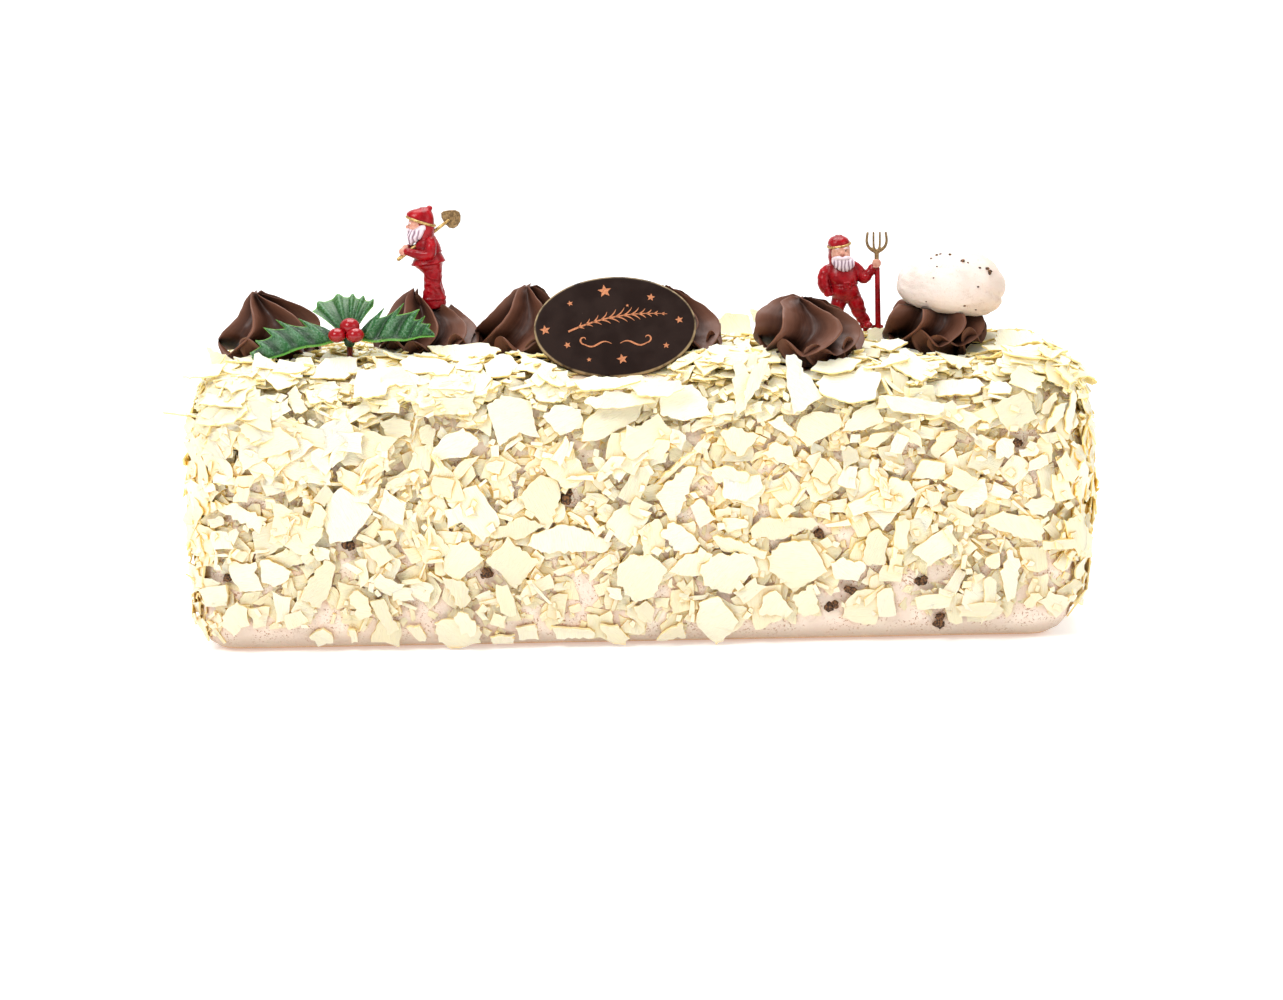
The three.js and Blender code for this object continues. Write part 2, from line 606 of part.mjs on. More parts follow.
// The gnome with the fork, moulded with its spike: it faces -Y, and its soles are at zero
const FORK_SPIKE_X = 6.9;
const POLE_X = 11.3;
function gnomeFork() {
  const tine = (points, radii) => tube(points.map(([x, z]) => [POLE_X + x, -1, z]), radii, 5);
  return fuse([
    stack([
      [-0.4, 0, 8.4, 3.4, 2.8],
      [-0.6, -0.1, 11, 5, 4.1],
      [-0.8, -0.5, 15.4, 4.9, 4.4],
      [-1.4, -0.2, 20.4, 5.4, 4.1],
      [-1.7, 0, 22.9, 5, 3.4],
      [-1.8, 0.2, 24.8, 3.2, 2.6],
    ]),
    stack([
      [-1.2, -3, 20.9, 1.7, 1],
      [-1.4, -2.4, 22.6, 3.7, 2.4],
      [-1.5, -1.7, 24.8, 4.3, 3.2],
      [-1.8, -1, 27.2, 3.9, 3.6],
      [-1.9, -0.8, 30.4, 3.7, 3.6],
    ]),
    stack([
      [-2.2, 1, 23.4, 3.9, 2.6],
      [-2.3, 0.8, 27, 4.5, 3.6],
      [-2.2, -0.3, 30, 4.8, 4.5, 0.08],
      [-2.1, -0.2, 32.4, 4.1, 4],
      [-2, 0, 34, 1.8, 1.9],
    ]),
    ball([-1.8, -4.6, 27.2], [0.9, 0.9, 1], 6, 4),
    tube([[-5.4, 0.2, 22.6], [-8.4, -0.2, 17.6], [-7.4, -1.6, 13.4]], [2.3, 2.2, 1.7]),
    ball([-7.2, -2, 12.7], [1.7, 1.6, 1.5], 6, 4),
    tube([[2.2, 0.2, 22.8], [6.2, -0.3, 17.6], [10.2, -1, 22.8]], [2.4, 2.4, 1.5]),
    ball([11, -1.1, 23.5], [1.8, 1.7, 1.8], 6, 4),
    tube([[-2.6, 0, 10.4], [-4.6, -0.3, 5.6], [-6, 0, 0.9]], [2.9, 2.3, 1.7]),
    tube([[2, 0, 10.4], [4.4, -0.5, 7], [7.2, 0, 0.9]], [2.9, 2.5, 1.7]),
    ball([-6.2, -1.5, 1.3], [1.8, 2.8, 1.3], 6, 4),
    ball([7.5, -1.5, 1.3], [1.8, 2.8, 1.3], 6, 4),
    tube([[POLE_X, -1, 0.2], [POLE_X, -1, 28.6]], [0.95, 0.8]),
    tine([[0, 28], [-2.6, 29.2], [-3.9, 31.6], [-3.7, 35.6]], [0.8, 0.75, 0.65, 0.5]),
    tine([[0, 28], [2.6, 29.2], [3.9, 31.6], [3.7, 35.6]], [0.8, 0.75, 0.65, 0.5]),
    tine([[-0.7, 28.4], [-1.3, 35.4]], [0.6, 0.5]),
    tine([[0.7, 28.4], [1.3, 35.4]], [0.6, 0.5]),
    tube([[-6, -0.6, 0.75], [POLE_X, -0.6, 0.75]], [0.7, 0.7]),
    tube([[FORK_SPIKE_X, 0, TOP - SPIKE_DEPTH - GNOME_FORK.z], [FORK_SPIKE_X, 0, 0.8]], [0.7, SPIKE_RADIUS]),
  ]);
}

// The gnome with the shovel: its two boots and trouser legs, which may be grown by a clearance
function gnomeLegs(grown = 0) {
  const leg = (side) =>
    stack(
      [
        [side * 2.2, 0.2, -grown, 2, 4.1],
        [side * 2.2, 0.2, 1, 2.3, 4.6],
        [side * 2.2, 0.3, 3.8, 2.3, 4.3],
        [side * 2.1, 0.1, 8, 2.1, 3],
        [side * 2, 0, 13.4, 2.4, 3.4],
      ].map(([x, y, z, wide, deep]) => [x, y, z, wide + grown, deep + grown]),
    );
  const toe = (side) => ball([side * 2.4, -3.4, 1.7], [1.8 + grown, 1.9 + grown, 1.7 + grown], 6, 4);
  return [leg(-1), leg(1), toe(-1), toe(1)];
}

function gnomeShovel() {
  const disc = new THREE.CylinderGeometry(3.7, 3.7, 0.9, 9).rotateZ(Math.PI / 2);
  return fuse([
    ...gnomeLegs(),
    stack([
      [0, 0, 12, 4.2, 3.1],
      [0, -1.4, 15, 4.9, 5],
      [0, -1.2, 18, 4.4, 4.6],
    ]),
    stack([
      [0, -1.2, 16.8, 5.3, 5.9, 0.18],
      [0, -1, 20.4, 4.3, 4.3, 0.1],
      [0, -0.9, 23.4, 4.7, 3.6],
      [0, -1.4, 25.8, 3.4, 2.6],
    ]),
    stack([
      [0, -7, 23.2, 1.4, 0.8],
      [0, -5.8, 25, 3.1, 2.1],
      [0, -4.9, 27.2, 3.7, 3.1],
      [0, -4.6, 29.6, 3.6, 3.6],
      [0, -4.4, 32.6, 3.5, 3.5],
    ]),
    stack([
      [0, -2, 24.6, 3.6, 2.4],
      [0, -2.2, 28.6, 4.2, 3.4],
      [0, -3.8, 31.6, 4.5, 5, -0.34],
      [0, -3.2, 34.3, 4, 4.2, -0.3],
      [0, -2.2, 36.4, 2, 2.4, -0.1],
    ]),
    ball([0, -0.7, 36.2], [1.2, 1.3, 1.2], 6, 4),
    ball([0, -8.3, 29.4], [0.9, 0.9, 0.9], 6, 4),
    tube([[3.4, -0.4, 24.4], [4.8, -0.4, 19.4], [2.8, -9.2, 21]], [2.1, 2.1, 1.4]),
    tube([[-3.4, -0.4, 24.4], [-4.6, -1.6, 20.2], [-0.4, -8.2, 22]], [2.1, 2.1, 1.4]),
    ball([1.8, -10.2, 20.8], [1.7, 1.7, 1.6], 6, 4),
    tube([[2, -12.6, 18.2], [-2.4, 6.9, 32.2]], [0.75, 0.7]),
    toSolid(disc, placed([-2.5, 7.6, 32.6])),
    tube([[0, 0.2, -SPIKE_DEPTH - 2], [0, 0.2, 1]], [0.7, SPIKE_RADIUS]),
  ]);
}

const GNOME_SHOVEL_PLACE = placed([GNOME_SHOVEL.x, GNOME_SHOVEL.y, GNOME_SHOVEL.z], [0, 0, -Math.PI / 2]);
const GNOME_FORK_PLACE = placed([GNOME_FORK.x, GNOME_FORK.y, GNOME_FORK.z]);

// The hollow that the first gnome's legs and spike press into the second rosette
function legSeat() {
  const radius = SPIKE_RADIUS + SPIKE_CLEARANCE;
  const spike = tube([[0, 0.2, -SPIKE_DEPTH - 3], [0, 0.2, 2]], [radius, radius]);
  return wasm.Manifold.union([...gnomeLegs(GAP), spike]).transform(GNOME_SHOVEL_PLACE.toArray());
}

const group = new THREE.Group();
function addPiece(name, solid, material, matrix) {
  const mesh = new THREE.Mesh(toGeometry(solid), material);
  mesh.name = name;
  if (matrix) mesh.applyMatrix4(matrix);
  group.add(mesh);
}

addPiece("cake", cake(), materials.coating);
for (const spec of ROSETTES) {
  let solid = rosette(spec);
  if (spec.name === "rosette_2") solid = fuse([solid.subtract(legSeat())]);
  if (spec.name === "rosette_6") solid = fuse([solid.subtract(shellPress())]);
  addPiece(spec.name, solid, materials.ganache);
}
addPiece("meringue_shell", shell(), materials.meringue);
addPiece("plaque", plaque(), materials.plaque);
addPiece("holly_leaves", hollyLeaves(), materials.leaf);
addPiece("holly_berries", fuse(berriesOnStem()), materials.berry);
addPiece("gnome_with_shovel", gnomeShovel(), materials.gnome, GNOME_SHOVEL_PLACE);
addPiece("gnome_with_fork", gnomeFork(), materials.gnome, GNOME_FORK_PLACE);

export default group;
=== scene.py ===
import math

import bmesh
import bpy
import numpy as np
from mathutils import Matrix, Vector, noise
from mathutils.bvhtree import BVHTree


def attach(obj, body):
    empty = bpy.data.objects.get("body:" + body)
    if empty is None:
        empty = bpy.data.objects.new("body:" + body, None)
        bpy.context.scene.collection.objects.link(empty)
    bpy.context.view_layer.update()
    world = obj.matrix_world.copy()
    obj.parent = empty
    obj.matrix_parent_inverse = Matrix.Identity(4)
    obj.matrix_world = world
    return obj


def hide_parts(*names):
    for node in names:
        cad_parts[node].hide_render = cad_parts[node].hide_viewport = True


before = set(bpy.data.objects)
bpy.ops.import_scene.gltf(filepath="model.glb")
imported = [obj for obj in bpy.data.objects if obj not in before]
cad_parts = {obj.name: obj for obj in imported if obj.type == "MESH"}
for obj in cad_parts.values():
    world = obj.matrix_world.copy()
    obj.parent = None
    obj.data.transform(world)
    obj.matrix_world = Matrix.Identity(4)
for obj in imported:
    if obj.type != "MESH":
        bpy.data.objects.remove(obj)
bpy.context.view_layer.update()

# The viewpoint: a long lens about a metre in front of the log and a little above it, level to within
# a degree. All sizes in this file are in millimetres, and MM turns them into metres.
MM = 0.001
VIEW_PLACE = Vector((-18.3, -1073.7, 243.2))
VIEW_DOWN = math.radians(10.5)
VIEW_ASIDE = math.radians(1.0)
VIEW_ROLL = math.radians(0.85)
FOCAL_LENGTH_PX = 3000
FRAME_WIDTH_PX = 1283
SENSOR = 36
lens = bpy.data.cameras.new("viewpoint")
lens.sensor_width = SENSOR
lens.lens = SENSOR * FOCAL_LENGTH_PX / FRAME_WIDTH_PX
viewpoint = bpy.data.objects.new("viewpoint", lens)
bpy.context.scene.collection.objects.link(viewpoint)
looks_at = Vector((
    math.sin(VIEW_ASIDE) * math.cos(VIEW_DOWN),
    math.cos(VIEW_ASIDE) * math.cos(VIEW_DOWN),
    -math.sin(VIEW_DOWN),
))
level_right = Vector((math.cos(VIEW_ASIDE), -math.sin(VIEW_ASIDE), 0))
level_up = level_right.cross(looks_at)
right = level_right * math.cos(VIEW_ROLL) - level_up * math.sin(VIEW_ROLL)
up = level_up * math.cos(VIEW_ROLL) + level_right * math.sin(VIEW_ROLL)
turn = Matrix((right, up, -looks_at)).transposed().to_4x4()
viewpoint.matrix_world = Matrix.Translation(VIEW_PLACE * MM) @ turn
bpy.context.scene.camera = viewpoint


# The shop floor: a seamless white sweep, painted matt, that rises behind the log. The materials of all
# pieces are made with the two classes here.
class Wire:
    """The output of a node. Python expressions on it add Math nodes."""

    def __init__(self, finish, socket):
        self.finish = finish
        self.socket = socket

    def maths(self, operation, first, second):
        return self.finish.node("ShaderNodeMath", {"operation": operation}, {0: first, 1: second})

    def __radd__(self, other):
        return self.maths("ADD", other, self)

    def __rsub__(self, other):
        return self.maths("SUBTRACT", other, self)

    def __mul__(self, other):
        return self.maths("MULTIPLY", self, other)

    def __rmul__(self, other):
        return self.maths("MULTIPLY", other, self)

    def ramp(self, low, high):
        """0 below low, 1 above high, and smooth between."""
        limits = {"Value": self, "From Min": low, "From Max": high}
        return self.finish.node("ShaderNodeMapRange", {"interpolation_type": "SMOOTHSTEP"}, limits)

    def axis(self, name):
        """One of the three parts of a vector."""
        return self.finish.node("ShaderNodeSeparateXYZ", {}, {"Vector": self}, name)


class Finish:
    """One material: a Principled shader with fixed values, and the nodes that vary it."""

    def __init__(self, name, fixed):
        self.material = bpy.data.materials.new(name)
        self.material.use_nodes = True
        self.nodes = self.material.node_tree.nodes
        self.links = self.material.node_tree.links
        self.shader = self.nodes["Principled BSDF"]
        for socket, value in fixed.items():
            self.shader.inputs[socket].default_value = value

    def node(self, kind, settings, inputs, output=0):
        made = self.nodes.new(kind)
        for key, value in settings.items():
            setattr(made, key, value)
        for key, value in inputs.items():
            if isinstance(value, Wire):
                self.links.new(value.socket, made.inputs[key])
            else:
                made.inputs[key].default_value = value
        return Wire(self, made.outputs[output])

    def feed(self, socket, wire):
        self.links.new(wire.socket, self.shader.inputs[socket])

    def place(self):
        return self.node("ShaderNodeTexCoord", {}, {}, "Object")

    def read(self, name, output="Vector"):
        """What a piece stores on its points under a name."""
        return self.node("ShaderNodeAttribute", {"attribute_name": name}, {}, output)

    def cloud(self, size, detail=3.0, rough=0.55):
        """Soft noise from 0 to 1 with lumps of the given size in millimetres."""
        inputs = {"Vector": self.place(), "Scale": 1 / (size * MM), "Detail": detail, "Roughness": rough}
        return self.node("ShaderNodeTexNoise", {}, inputs)

    def streaks(self, name, scale, detail):
        """Noise drawn out along what a piece stores under a name."""
        stretched = self.node("ShaderNodeMapping", {}, {"Vector": self.read(name), "Scale": scale})
        return self.node("ShaderNodeTexNoise", {}, {"Vector": stretched, "Scale": 1.0, "Detail": detail})

    def shade(self, distance, low, high, samples=3):
        """For painted shade: 1 in narrow gaps, 0 in the open, judged within a distance in millimetres."""
        inputs = {"Distance": distance * MM}
        openness = self.node("ShaderNodeAmbientOcclusion", {"samples": samples}, inputs, 1)
        return 1 - openness.ramp(low, high)

    def blend(self, share, base, layer):
        """From base to layer, which are wires or colours, by a share from 0 to 1."""
        base, layer = [colour if isinstance(colour, Wire) else paint(*colour) for colour in (base, layer)]
        return self.node("ShaderNodeMix", {"data_type": "RGBA"}, {0: share, 6: base, 7: layer}, 2)

    def colour(self, share, base, layer, *coats):
        """Feeds a colour: from base to layer by a share, under coats that have shares of their own."""
        mixed = self.blend(share, base, layer)
        for coat_share, coat in coats:
            mixed = self.blend(coat_share, mixed, coat)
        self.feed("Base Color", mixed)

    def bump(self, height, depth, strength, over=None):
        """Bumps of a height that varies, as deep as given in millimetres, on top of other bumps."""
        inputs = {"Height": height, "Distance": depth * MM, "Strength": strength}
        if over:
            inputs["Normal"] = over
        return self.node("ShaderNodeBump", {}, inputs)

    def grain(self, size, detail, depth, strength):
        """Feeds the bumps of a soft noise."""
        self.feed("Normal", self.bump(self.cloud(size, detail), depth, strength))


def paint(red, green, blue):
    """A colour as a screen shows it, 0 to 255, turned into the linear values that shaders use."""
    linear = [((c / 255 + 0.055) / 1.055) ** 2.4 if c > 10 else c / 255 / 12.92 for c in (red, green, blue)]
    return (*linear, 1.0)


def make_piece(name, points, faces, finish, smooth=None, **stored):
    """A mesh object from points in millimetres, smooth up to an angle, with values stored on its points."""
    mesh = bpy.data.meshes.new(name)
    mesh.from_pydata([tuple(point) for point in np.asarray(points) * MM], [], [tuple(face) for face in faces])
    mesh.validate()
    if smooth is not None:
        mesh.shade_smooth()
        mesh.set_sharp_from_angle(angle=math.radians(smooth))
    mesh.materials.append(finish.material)
    for label, values in stored.items():
        values = np.array(values, dtype=np.float32)
        kind, key = ("FLOAT", "value") if values.ndim == 1 else ("FLOAT_VECTOR", "vector")
        mesh.attributes.new(label, kind, "POINT").data.foreach_set(key, values.ravel())
    piece = bpy.data.objects.new(name, mesh)
    bpy.context.scene.collection.objects.link(piece)
    return piece


SWEEP_HALF_WIDTH = 4000
SWEEP_FRONT = -3000
SWEEP_BACK = 1600
SWEEP_RADIUS = 900
SWEEP_HEIGHT = 3500
SWEEP_STEPS = 12
sweep_line = [(SWEEP_FRONT, 0)]
for step in range(SWEEP_STEPS + 1):
    bend = math.pi / 2 * step / SWEEP_STEPS
    rise = SWEEP_RADIUS * (1 - math.cos(bend))
    sweep_line.append((SWEEP_BACK + SWEEP_RADIUS * math.sin(bend), rise))
sweep_line.append((SWEEP_BACK + SWEEP_RADIUS, SWEEP_HEIGHT))
sweep_points = [(side * SWEEP_HALF_WIDTH, y, z) for y, z in sweep_line for side in (-1, 1)]
sweep_faces = [(2 * i, 2 * i + 1, 2 * i + 3, 2 * i + 2) for i in range(len(sweep_line) - 1)]
white_paint = Finish("white_sweep_paint", {
    "Base Color": (0.93, 0.93, 0.925, 1),
    "Roughness": 0.9,
    "Emission Color": (1, 1, 1, 1),
    "Emission Strength": 0.35,
})
make_piece("white_sweep", sweep_points, sweep_faces, white_paint, 60)

# The light: a bright white room, one large soft box high at the front left, and a weaker one at the
# right. Nothing is darker than the soft shade between the shavings.
SOFT_BOXES = [
    {"name": "soft_box_left", "place": (-700, -900, 1000), "size": 500, "watts": 11},
    {"name": "soft_box_right", "place": (900, -700, 600), "size": 700, "watts": 3},
    {"name": "soft_box_above", "place": (0, 250, 1300), "size": 1000, "watts": 21},
]
ROOM_LIGHT = 0.45
for box in SOFT_BOXES:
    panel = bpy.data.lights.new(box["name"], "AREA")
    panel.shape = "SQUARE"
    panel.size = box["size"] * MM
    panel.energy = box["watts"]
    lamp = bpy.data.objects.new(box["name"], panel)
    lamp.location = Vector(box["place"]) * MM
    lamp.rotation_euler = (Vector((0, 0, 50)) - Vector(box["place"])).to_track_quat("-Z", "Y").to_euler()
    bpy.context.scene.collection.objects.link(lamp)
room = bpy.data.worlds.new("white_room")
room.use_nodes = True
room.node_tree.nodes["Background"].inputs["Color"].default_value = (1, 1, 1, 1)
room.node_tree.nodes["Background"].inputs["Strength"].default_value = ROOM_LIGHT
bpy.context.scene.world = room
bpy.context.scene.view_settings.view_transform = "Standard"

# The loaf: baked meringue crumbs bound with whipped cream and pressed in a loaf mould, so that it has
# full sides, round corners and a smooth foot. It carries everything else, and shows between shavings.
HALF_LENGTH = 156
HALF_WIDTH = 49
CORNER_RADIUS = 17
TOP = 96.5
LOAF_PROFILE = [
    (13, 0), (8.6, 1), (5, 3.2), (2.4, 7), (0.8, 14), (0, 40),
    (0.6, 62), (2, 78), (4.5, 87), (9, 92.5), (16, 95.4), (26, 96.3), (36, TOP),
]
LEVEL_STEP = 2.0
SWELL = 1.1
FOOT_HEIGHT = 11
FOOT_SLIDE = 3.5
ARC_STEPS = 8
LONG_STEPS = 146
SHORT_STEPS = 32


def enter(piece, node=None):
    """Enters a piece of the log in the frame, and hides the part of the model that it stands for."""
    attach(piece, "root")
    if node:
        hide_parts(node)


def closed_net(rings, around, flip=False):
    """Faces between rings of points that lie one after the other, then those that close both ends."""
    faces = []
    for ring in range(rings - 1):
        for k in range(around):
            a, b = ring * around + k, ring * around + (k + 1) % around
            faces.append((a, a + around, b + around, b) if flip else (a, b, b + around, a + around))
    first, last = tuple(range(around)), tuple(range((rings - 1) * around, rings * around))
    return faces + ([first, last[::-1]] if flip else [first[::-1], last])


def plan_outline(inset):
    """Places and outward directions round the loaf, drawn in by inset."""
    radius = max(CORNER_RADIUS - inset, 1.5)
    reach_x = HALF_LENGTH - inset - radius
    reach_y = HALF_WIDTH - inset - radius
    rows = []
    for quarter, (side_x, side_y) in enumerate([(1, 1), (-1, 1), (-1, -1), (1, -1)]):
        for i in range(ARC_STEPS + 1):
            angle = (quarter + i / ARC_STEPS) * math.pi / 2
            out = (math.cos(angle), math.sin(angle))
            rows.append((side_x * reach_x + radius * out[0], side_y * reach_y + radius * out[1], *out))
        start = rows[-1]
        following = [(-1, 1), (-1, -1), (1, -1), (1, 1)][quarter]
        end_x = following[0] * reach_x + radius * out[0]
        end_y = following[1] * reach_y + radius * out[1]
        steps = LONG_STEPS if quarter % 2 == 0 else SHORT_STEPS
        for k in range(1, steps):
            share = k / steps
            x = start[0] + (end_x - start[0]) * share
            y = start[1] + (end_y - start[1]) * share
            rows.append((x, y, *out))
    return rows


def swell(x, y, z):
    """How far the cream swells out at a place on the side: the same soft waves as in the solid."""
    side = math.sin(math.pi * min(max(z / 90, 0), 1))
    along = math.sin(x / 13 + z / 21) * math.cos(z / 17 - x / 41)
    return SWELL * side * (along + 0.5 * math.sin(y / 11 + z / 15))


def crumble(x, y, z):
    """Lumps and pits of crumb in the cream, fainter on the smooth foot."""
    spot = Vector((x, y, z))
    lumps = noise.noise(spot / 9) * 0.7 + noise.noise(spot / 3.6) * 0.55 + noise.noise(spot / 1.7) * 0.3
    return lumps * (0.25 + 0.75 * min(max((z - FOOT_HEIGHT) / 12, 0), 1))


profile_insets, profile_heights = zip(*LOAF_PROFILE)
side_levels = [0, 0.5, 1, 2] + list(np.arange(3.2, 95.4, LEVEL_STEP))
levels = [(float(np.interp(z, profile_heights, profile_insets)), z) for z in side_levels]
top_insets = np.arange(16, HALF_WIDTH - 1.5, LEVEL_STEP)
levels += [(inset, float(np.interp(inset, profile_insets[6:], profile_heights[6:]))) for inset in top_insets]
loaf_points = []
for inset, z in levels:
    for x, y, out_x, out_y in plan_outline(inset):
        push = swell(x, y, z)
        bare = crumble(x, y, z)
        lean = min(max((z - 90) / 6, 0), 1)
        flat = 0 if z < 0.6 else bare * lean
        wide = push + (bare * (1 - lean) if z > 0.6 else 0)
        slid = FOOT_SLIDE * max(1 - z / (2 * FOOT_HEIGHT), 0)
        loaf_points.append((x + out_x * wide - slid, y + out_y * wide, z + flat))
loaf_faces = closed_net(len(levels), len(plan_outline(0)))
cream = Finish("meringue_cream", {"Roughness": 0.75, "Subsurface Weight": 0.12, "Subsurface Scale": 0.003})
height = cream.place().axis("Z")
cream.colour(
    height.ramp(0.01, 0.06), (226, 207, 192), (240, 227, 210),
    (cream.cloud(14, 2).ramp(0.4, 0.7) * 0.5, (247, 238, 224)),
    (cream.cloud(0.9, 2, 0.7).ramp(0.56, 0.64) * cream.cloud(7, 2).ramp(0.4, 0.56) * 0.8, (156, 98, 54)),
    # Painted shade along the foot
    ((1 - height.ramp(0.001, 0.01)) * 0.85, (180, 158, 138)),
    (1 - height.ramp(0.0004, 0.0016), (196, 132, 66)),
    # Warm painted shade in the narrow gaps of the cream
    (cream.shade(2.5, 0.3, 0.9) * 0.45, (226, 176, 122)),
)
cream.grain(1.1, 4, 0.5, 0.7)
enter(make_piece("meringue_loaf", loaf_points, loaf_faces, cream, 80), "cake")

# The coat: shavings scraped off a block of white chocolate and pressed into the cream by hand. Each is
# a thin broken plate, straight or ragged along its sides, and lies on those that went on before it.
draw = np.random.default_rng(24)
loaf_tree = BVHTree.FromPolygons([tuple(point) for point in loaf_points], loaf_faces)
CELL = 1.25
PILE_LIMIT = 6.2
THIN_PILE_LIMIT = 3.4
SETTLE_SLOPE = 0.3
pile, ceiling = {}, {}
# The plaque that is put on later: its foot, how it leans back, and its size
PLAQUE_PLACE = (
    Matrix.Translation((-8, -37, 94.9))
    @ Matrix.Rotation(math.pi / 2 - 0.54, 4, "X")
    @ Matrix.Rotation(0.02, 4, "Z")
)
PLAQUE_LENGTH = 57
PLAQUE_HEIGHT = 38.5
PLAQUE_THICK = 2.4


def cell_of(place):
    """The cell of the pile at a place."""
    return (int(place.x // CELL), int(place.y // CELL), int(place.z // CELL))


def pile_limit(cell):
    """How high the shavings may pile up: less on the ends and at the back of the top."""
    x, y, z = [index * CELL for index in cell]
    return THIN_PILE_LIMIT if abs(x) > HALF_LENGTH - 7 or (z > 88 and y > 10) else PILE_LIMIT


def meets_plaque(points):
    """Whether any of the points is in the plaque, or hides it from someone in front of the log."""
    flat = np.array(PLAQUE_PLACE.inverted())[:3]
    local = points @ flat[:, :3].T + flat[:, 3]
    eye = flat[:, :3] @ np.array(VIEW_PLACE) + flat[:, 3]
    seen = eye + (local - eye) * (eye[2] / (eye[2] - local[:, 2]))[:, None]
    across, up = seen[:, 0] / (PLAQUE_LENGTH / 2), seen[:, 1] / (PLAQUE_HEIGHT / 2) - 1
    return bool(np.any((across ** 2 + up ** 2 < 0.97) & (local[:, 2] > -PLAQUE_THICK - 0.3)))


def new_shape(length, width, bend=1.0):
    """One shaving: its size, how its four corners and four sides are off a rectangle, and its bend."""
    return {
        "length": length,
        "width": width,
        "corners": draw.uniform(-0.2, 0.2, (2, 2, 2)),
        "sides": draw.uniform(-0.1, 0.14, 4),
        "curl": draw.uniform(-0.05, 0.12) * bend,
        "cup": draw.uniform(-0.03, 0.08) * bend,
        "twist": draw.uniform(-0.25, 0.25) * bend,
        "thick": draw.uniform(0.35, 0.8),
    }


def plate_at(shape, along, across):
    """Upper side of a shaving, flat on XY, at shares from -0.5 to 0.5 along and across it."""
    u, v = 2 * along, 2 * across
    off = 0
    for i, at_u in enumerate(((1 - u) / 2, (1 + u) / 2)):
        for j, at_v in enumerate(((1 - v) / 2, (1 + v) / 2)):
            off = off + shape["corners"][i, j][:, None, None] * at_u * at_v
    sides = shape["sides"]
    wide_u, wide_v = 1 - v * v, 1 - u * u
    x = along + off[0] + wide_u * (sides[0] * (1 + u) - sides[1] * (1 - u)) / 2
    y = across + off[1] + wide_v * (sides[2] * (1 + v) - sides[3] * (1 - v)) / 2
    height = shape["curl"] * shape["length"] * u * u / 2 + shape["cup"] * shape["width"] * v * v / 2
    height = height + shape["twist"] * shape["width"] * u * v / 4
    return np.stack([x * shape["length"], y * shape["width"], height], axis=-1)


def settle(spots, flat, thick, share):
    """How far and how aslant a plate moves out until the share of it clears the pile, and the new pile."""
    reads = []
    for spot in spots:
        place, out, _, _ = loaf_tree.find_nearest(spot)
        reads.append((cell_of(place), (Vector(spot) - place).dot(out)))
    gaps = np.array([pile.get(cell, 0.0) - height for cell, height in reads])
    slope = np.zeros(2)
    if len(spots) > 12:
        terms = np.column_stack([flat, np.ones(len(flat))])
        slope = np.clip(np.linalg.lstsq(terms, gaps, rcond=None)[0][:2], -SETTLE_SLOPE, SETTLE_SLOPE)
    aside = flat @ slope
    lift = float(np.sort(gaps - aside)[int(share * (len(gaps) - 1))])
    levels = []
    for (cell, height), own in zip(reads, aside):
        levels.append((cell, min(height + lift + own + thick, pile_limit(cell))))
    return lift, slope, levels


def lay_on_pile(levels):
    """Raises the pile where a plate now lies."""
    for cell, level in levels:
        pile[cell] = max(level, pile.get(cell, 0.0))


def pose_of(facing, turn, tilt):
    """Turns a plate on XY so that it faces the given way, with its second axis up or to the back."""
    rough_up = Vector((0, 0, 1)) if abs(facing.z) < 0.9 else Vector((0, 1, 0))
    side = rough_up.cross(facing).normalized()
    basis = Matrix((side, facing.cross(side), facing)).transposed()
    hinge = Vector((math.cos(tilt[1]), math.sin(tilt[1]), 0))
    return np.array(basis @ Matrix.Rotation(tilt[0], 3, hinge) @ Matrix.Rotation(turn, 3, "Z"))


def off_the_floor(points):
    """Points raised together so that none is below the floor."""
    points[:, 2] += max(0.3 - points[:, 2].min(), 0)
    return points


def sheet_net(columns, rows):
    """Faces of a thin sheet with an upper and a lower net of points, closed along its rim."""
    row = rows + 1
    size = row * (columns + 1)
    faces = []
    for i in range(columns):
        for j in range(rows):
            a = i * row + j
            faces.append((a, a + row, a + row + 1, a + 1))
            faces.append((size + a, size + a + 1, size + a + row + 1, size + a + row))
    rim = [i * row for i in range(columns + 1)] + [columns * row + j for j in range(1, row)]
    rim += [i * row + rows for i in range(columns - 1, -1, -1)] + list(range(rows - 1, 0, -1))
    return faces + [(b, a, size + a, size + b) for a, b in zip(rim, rim[1:] + rim[:1])]


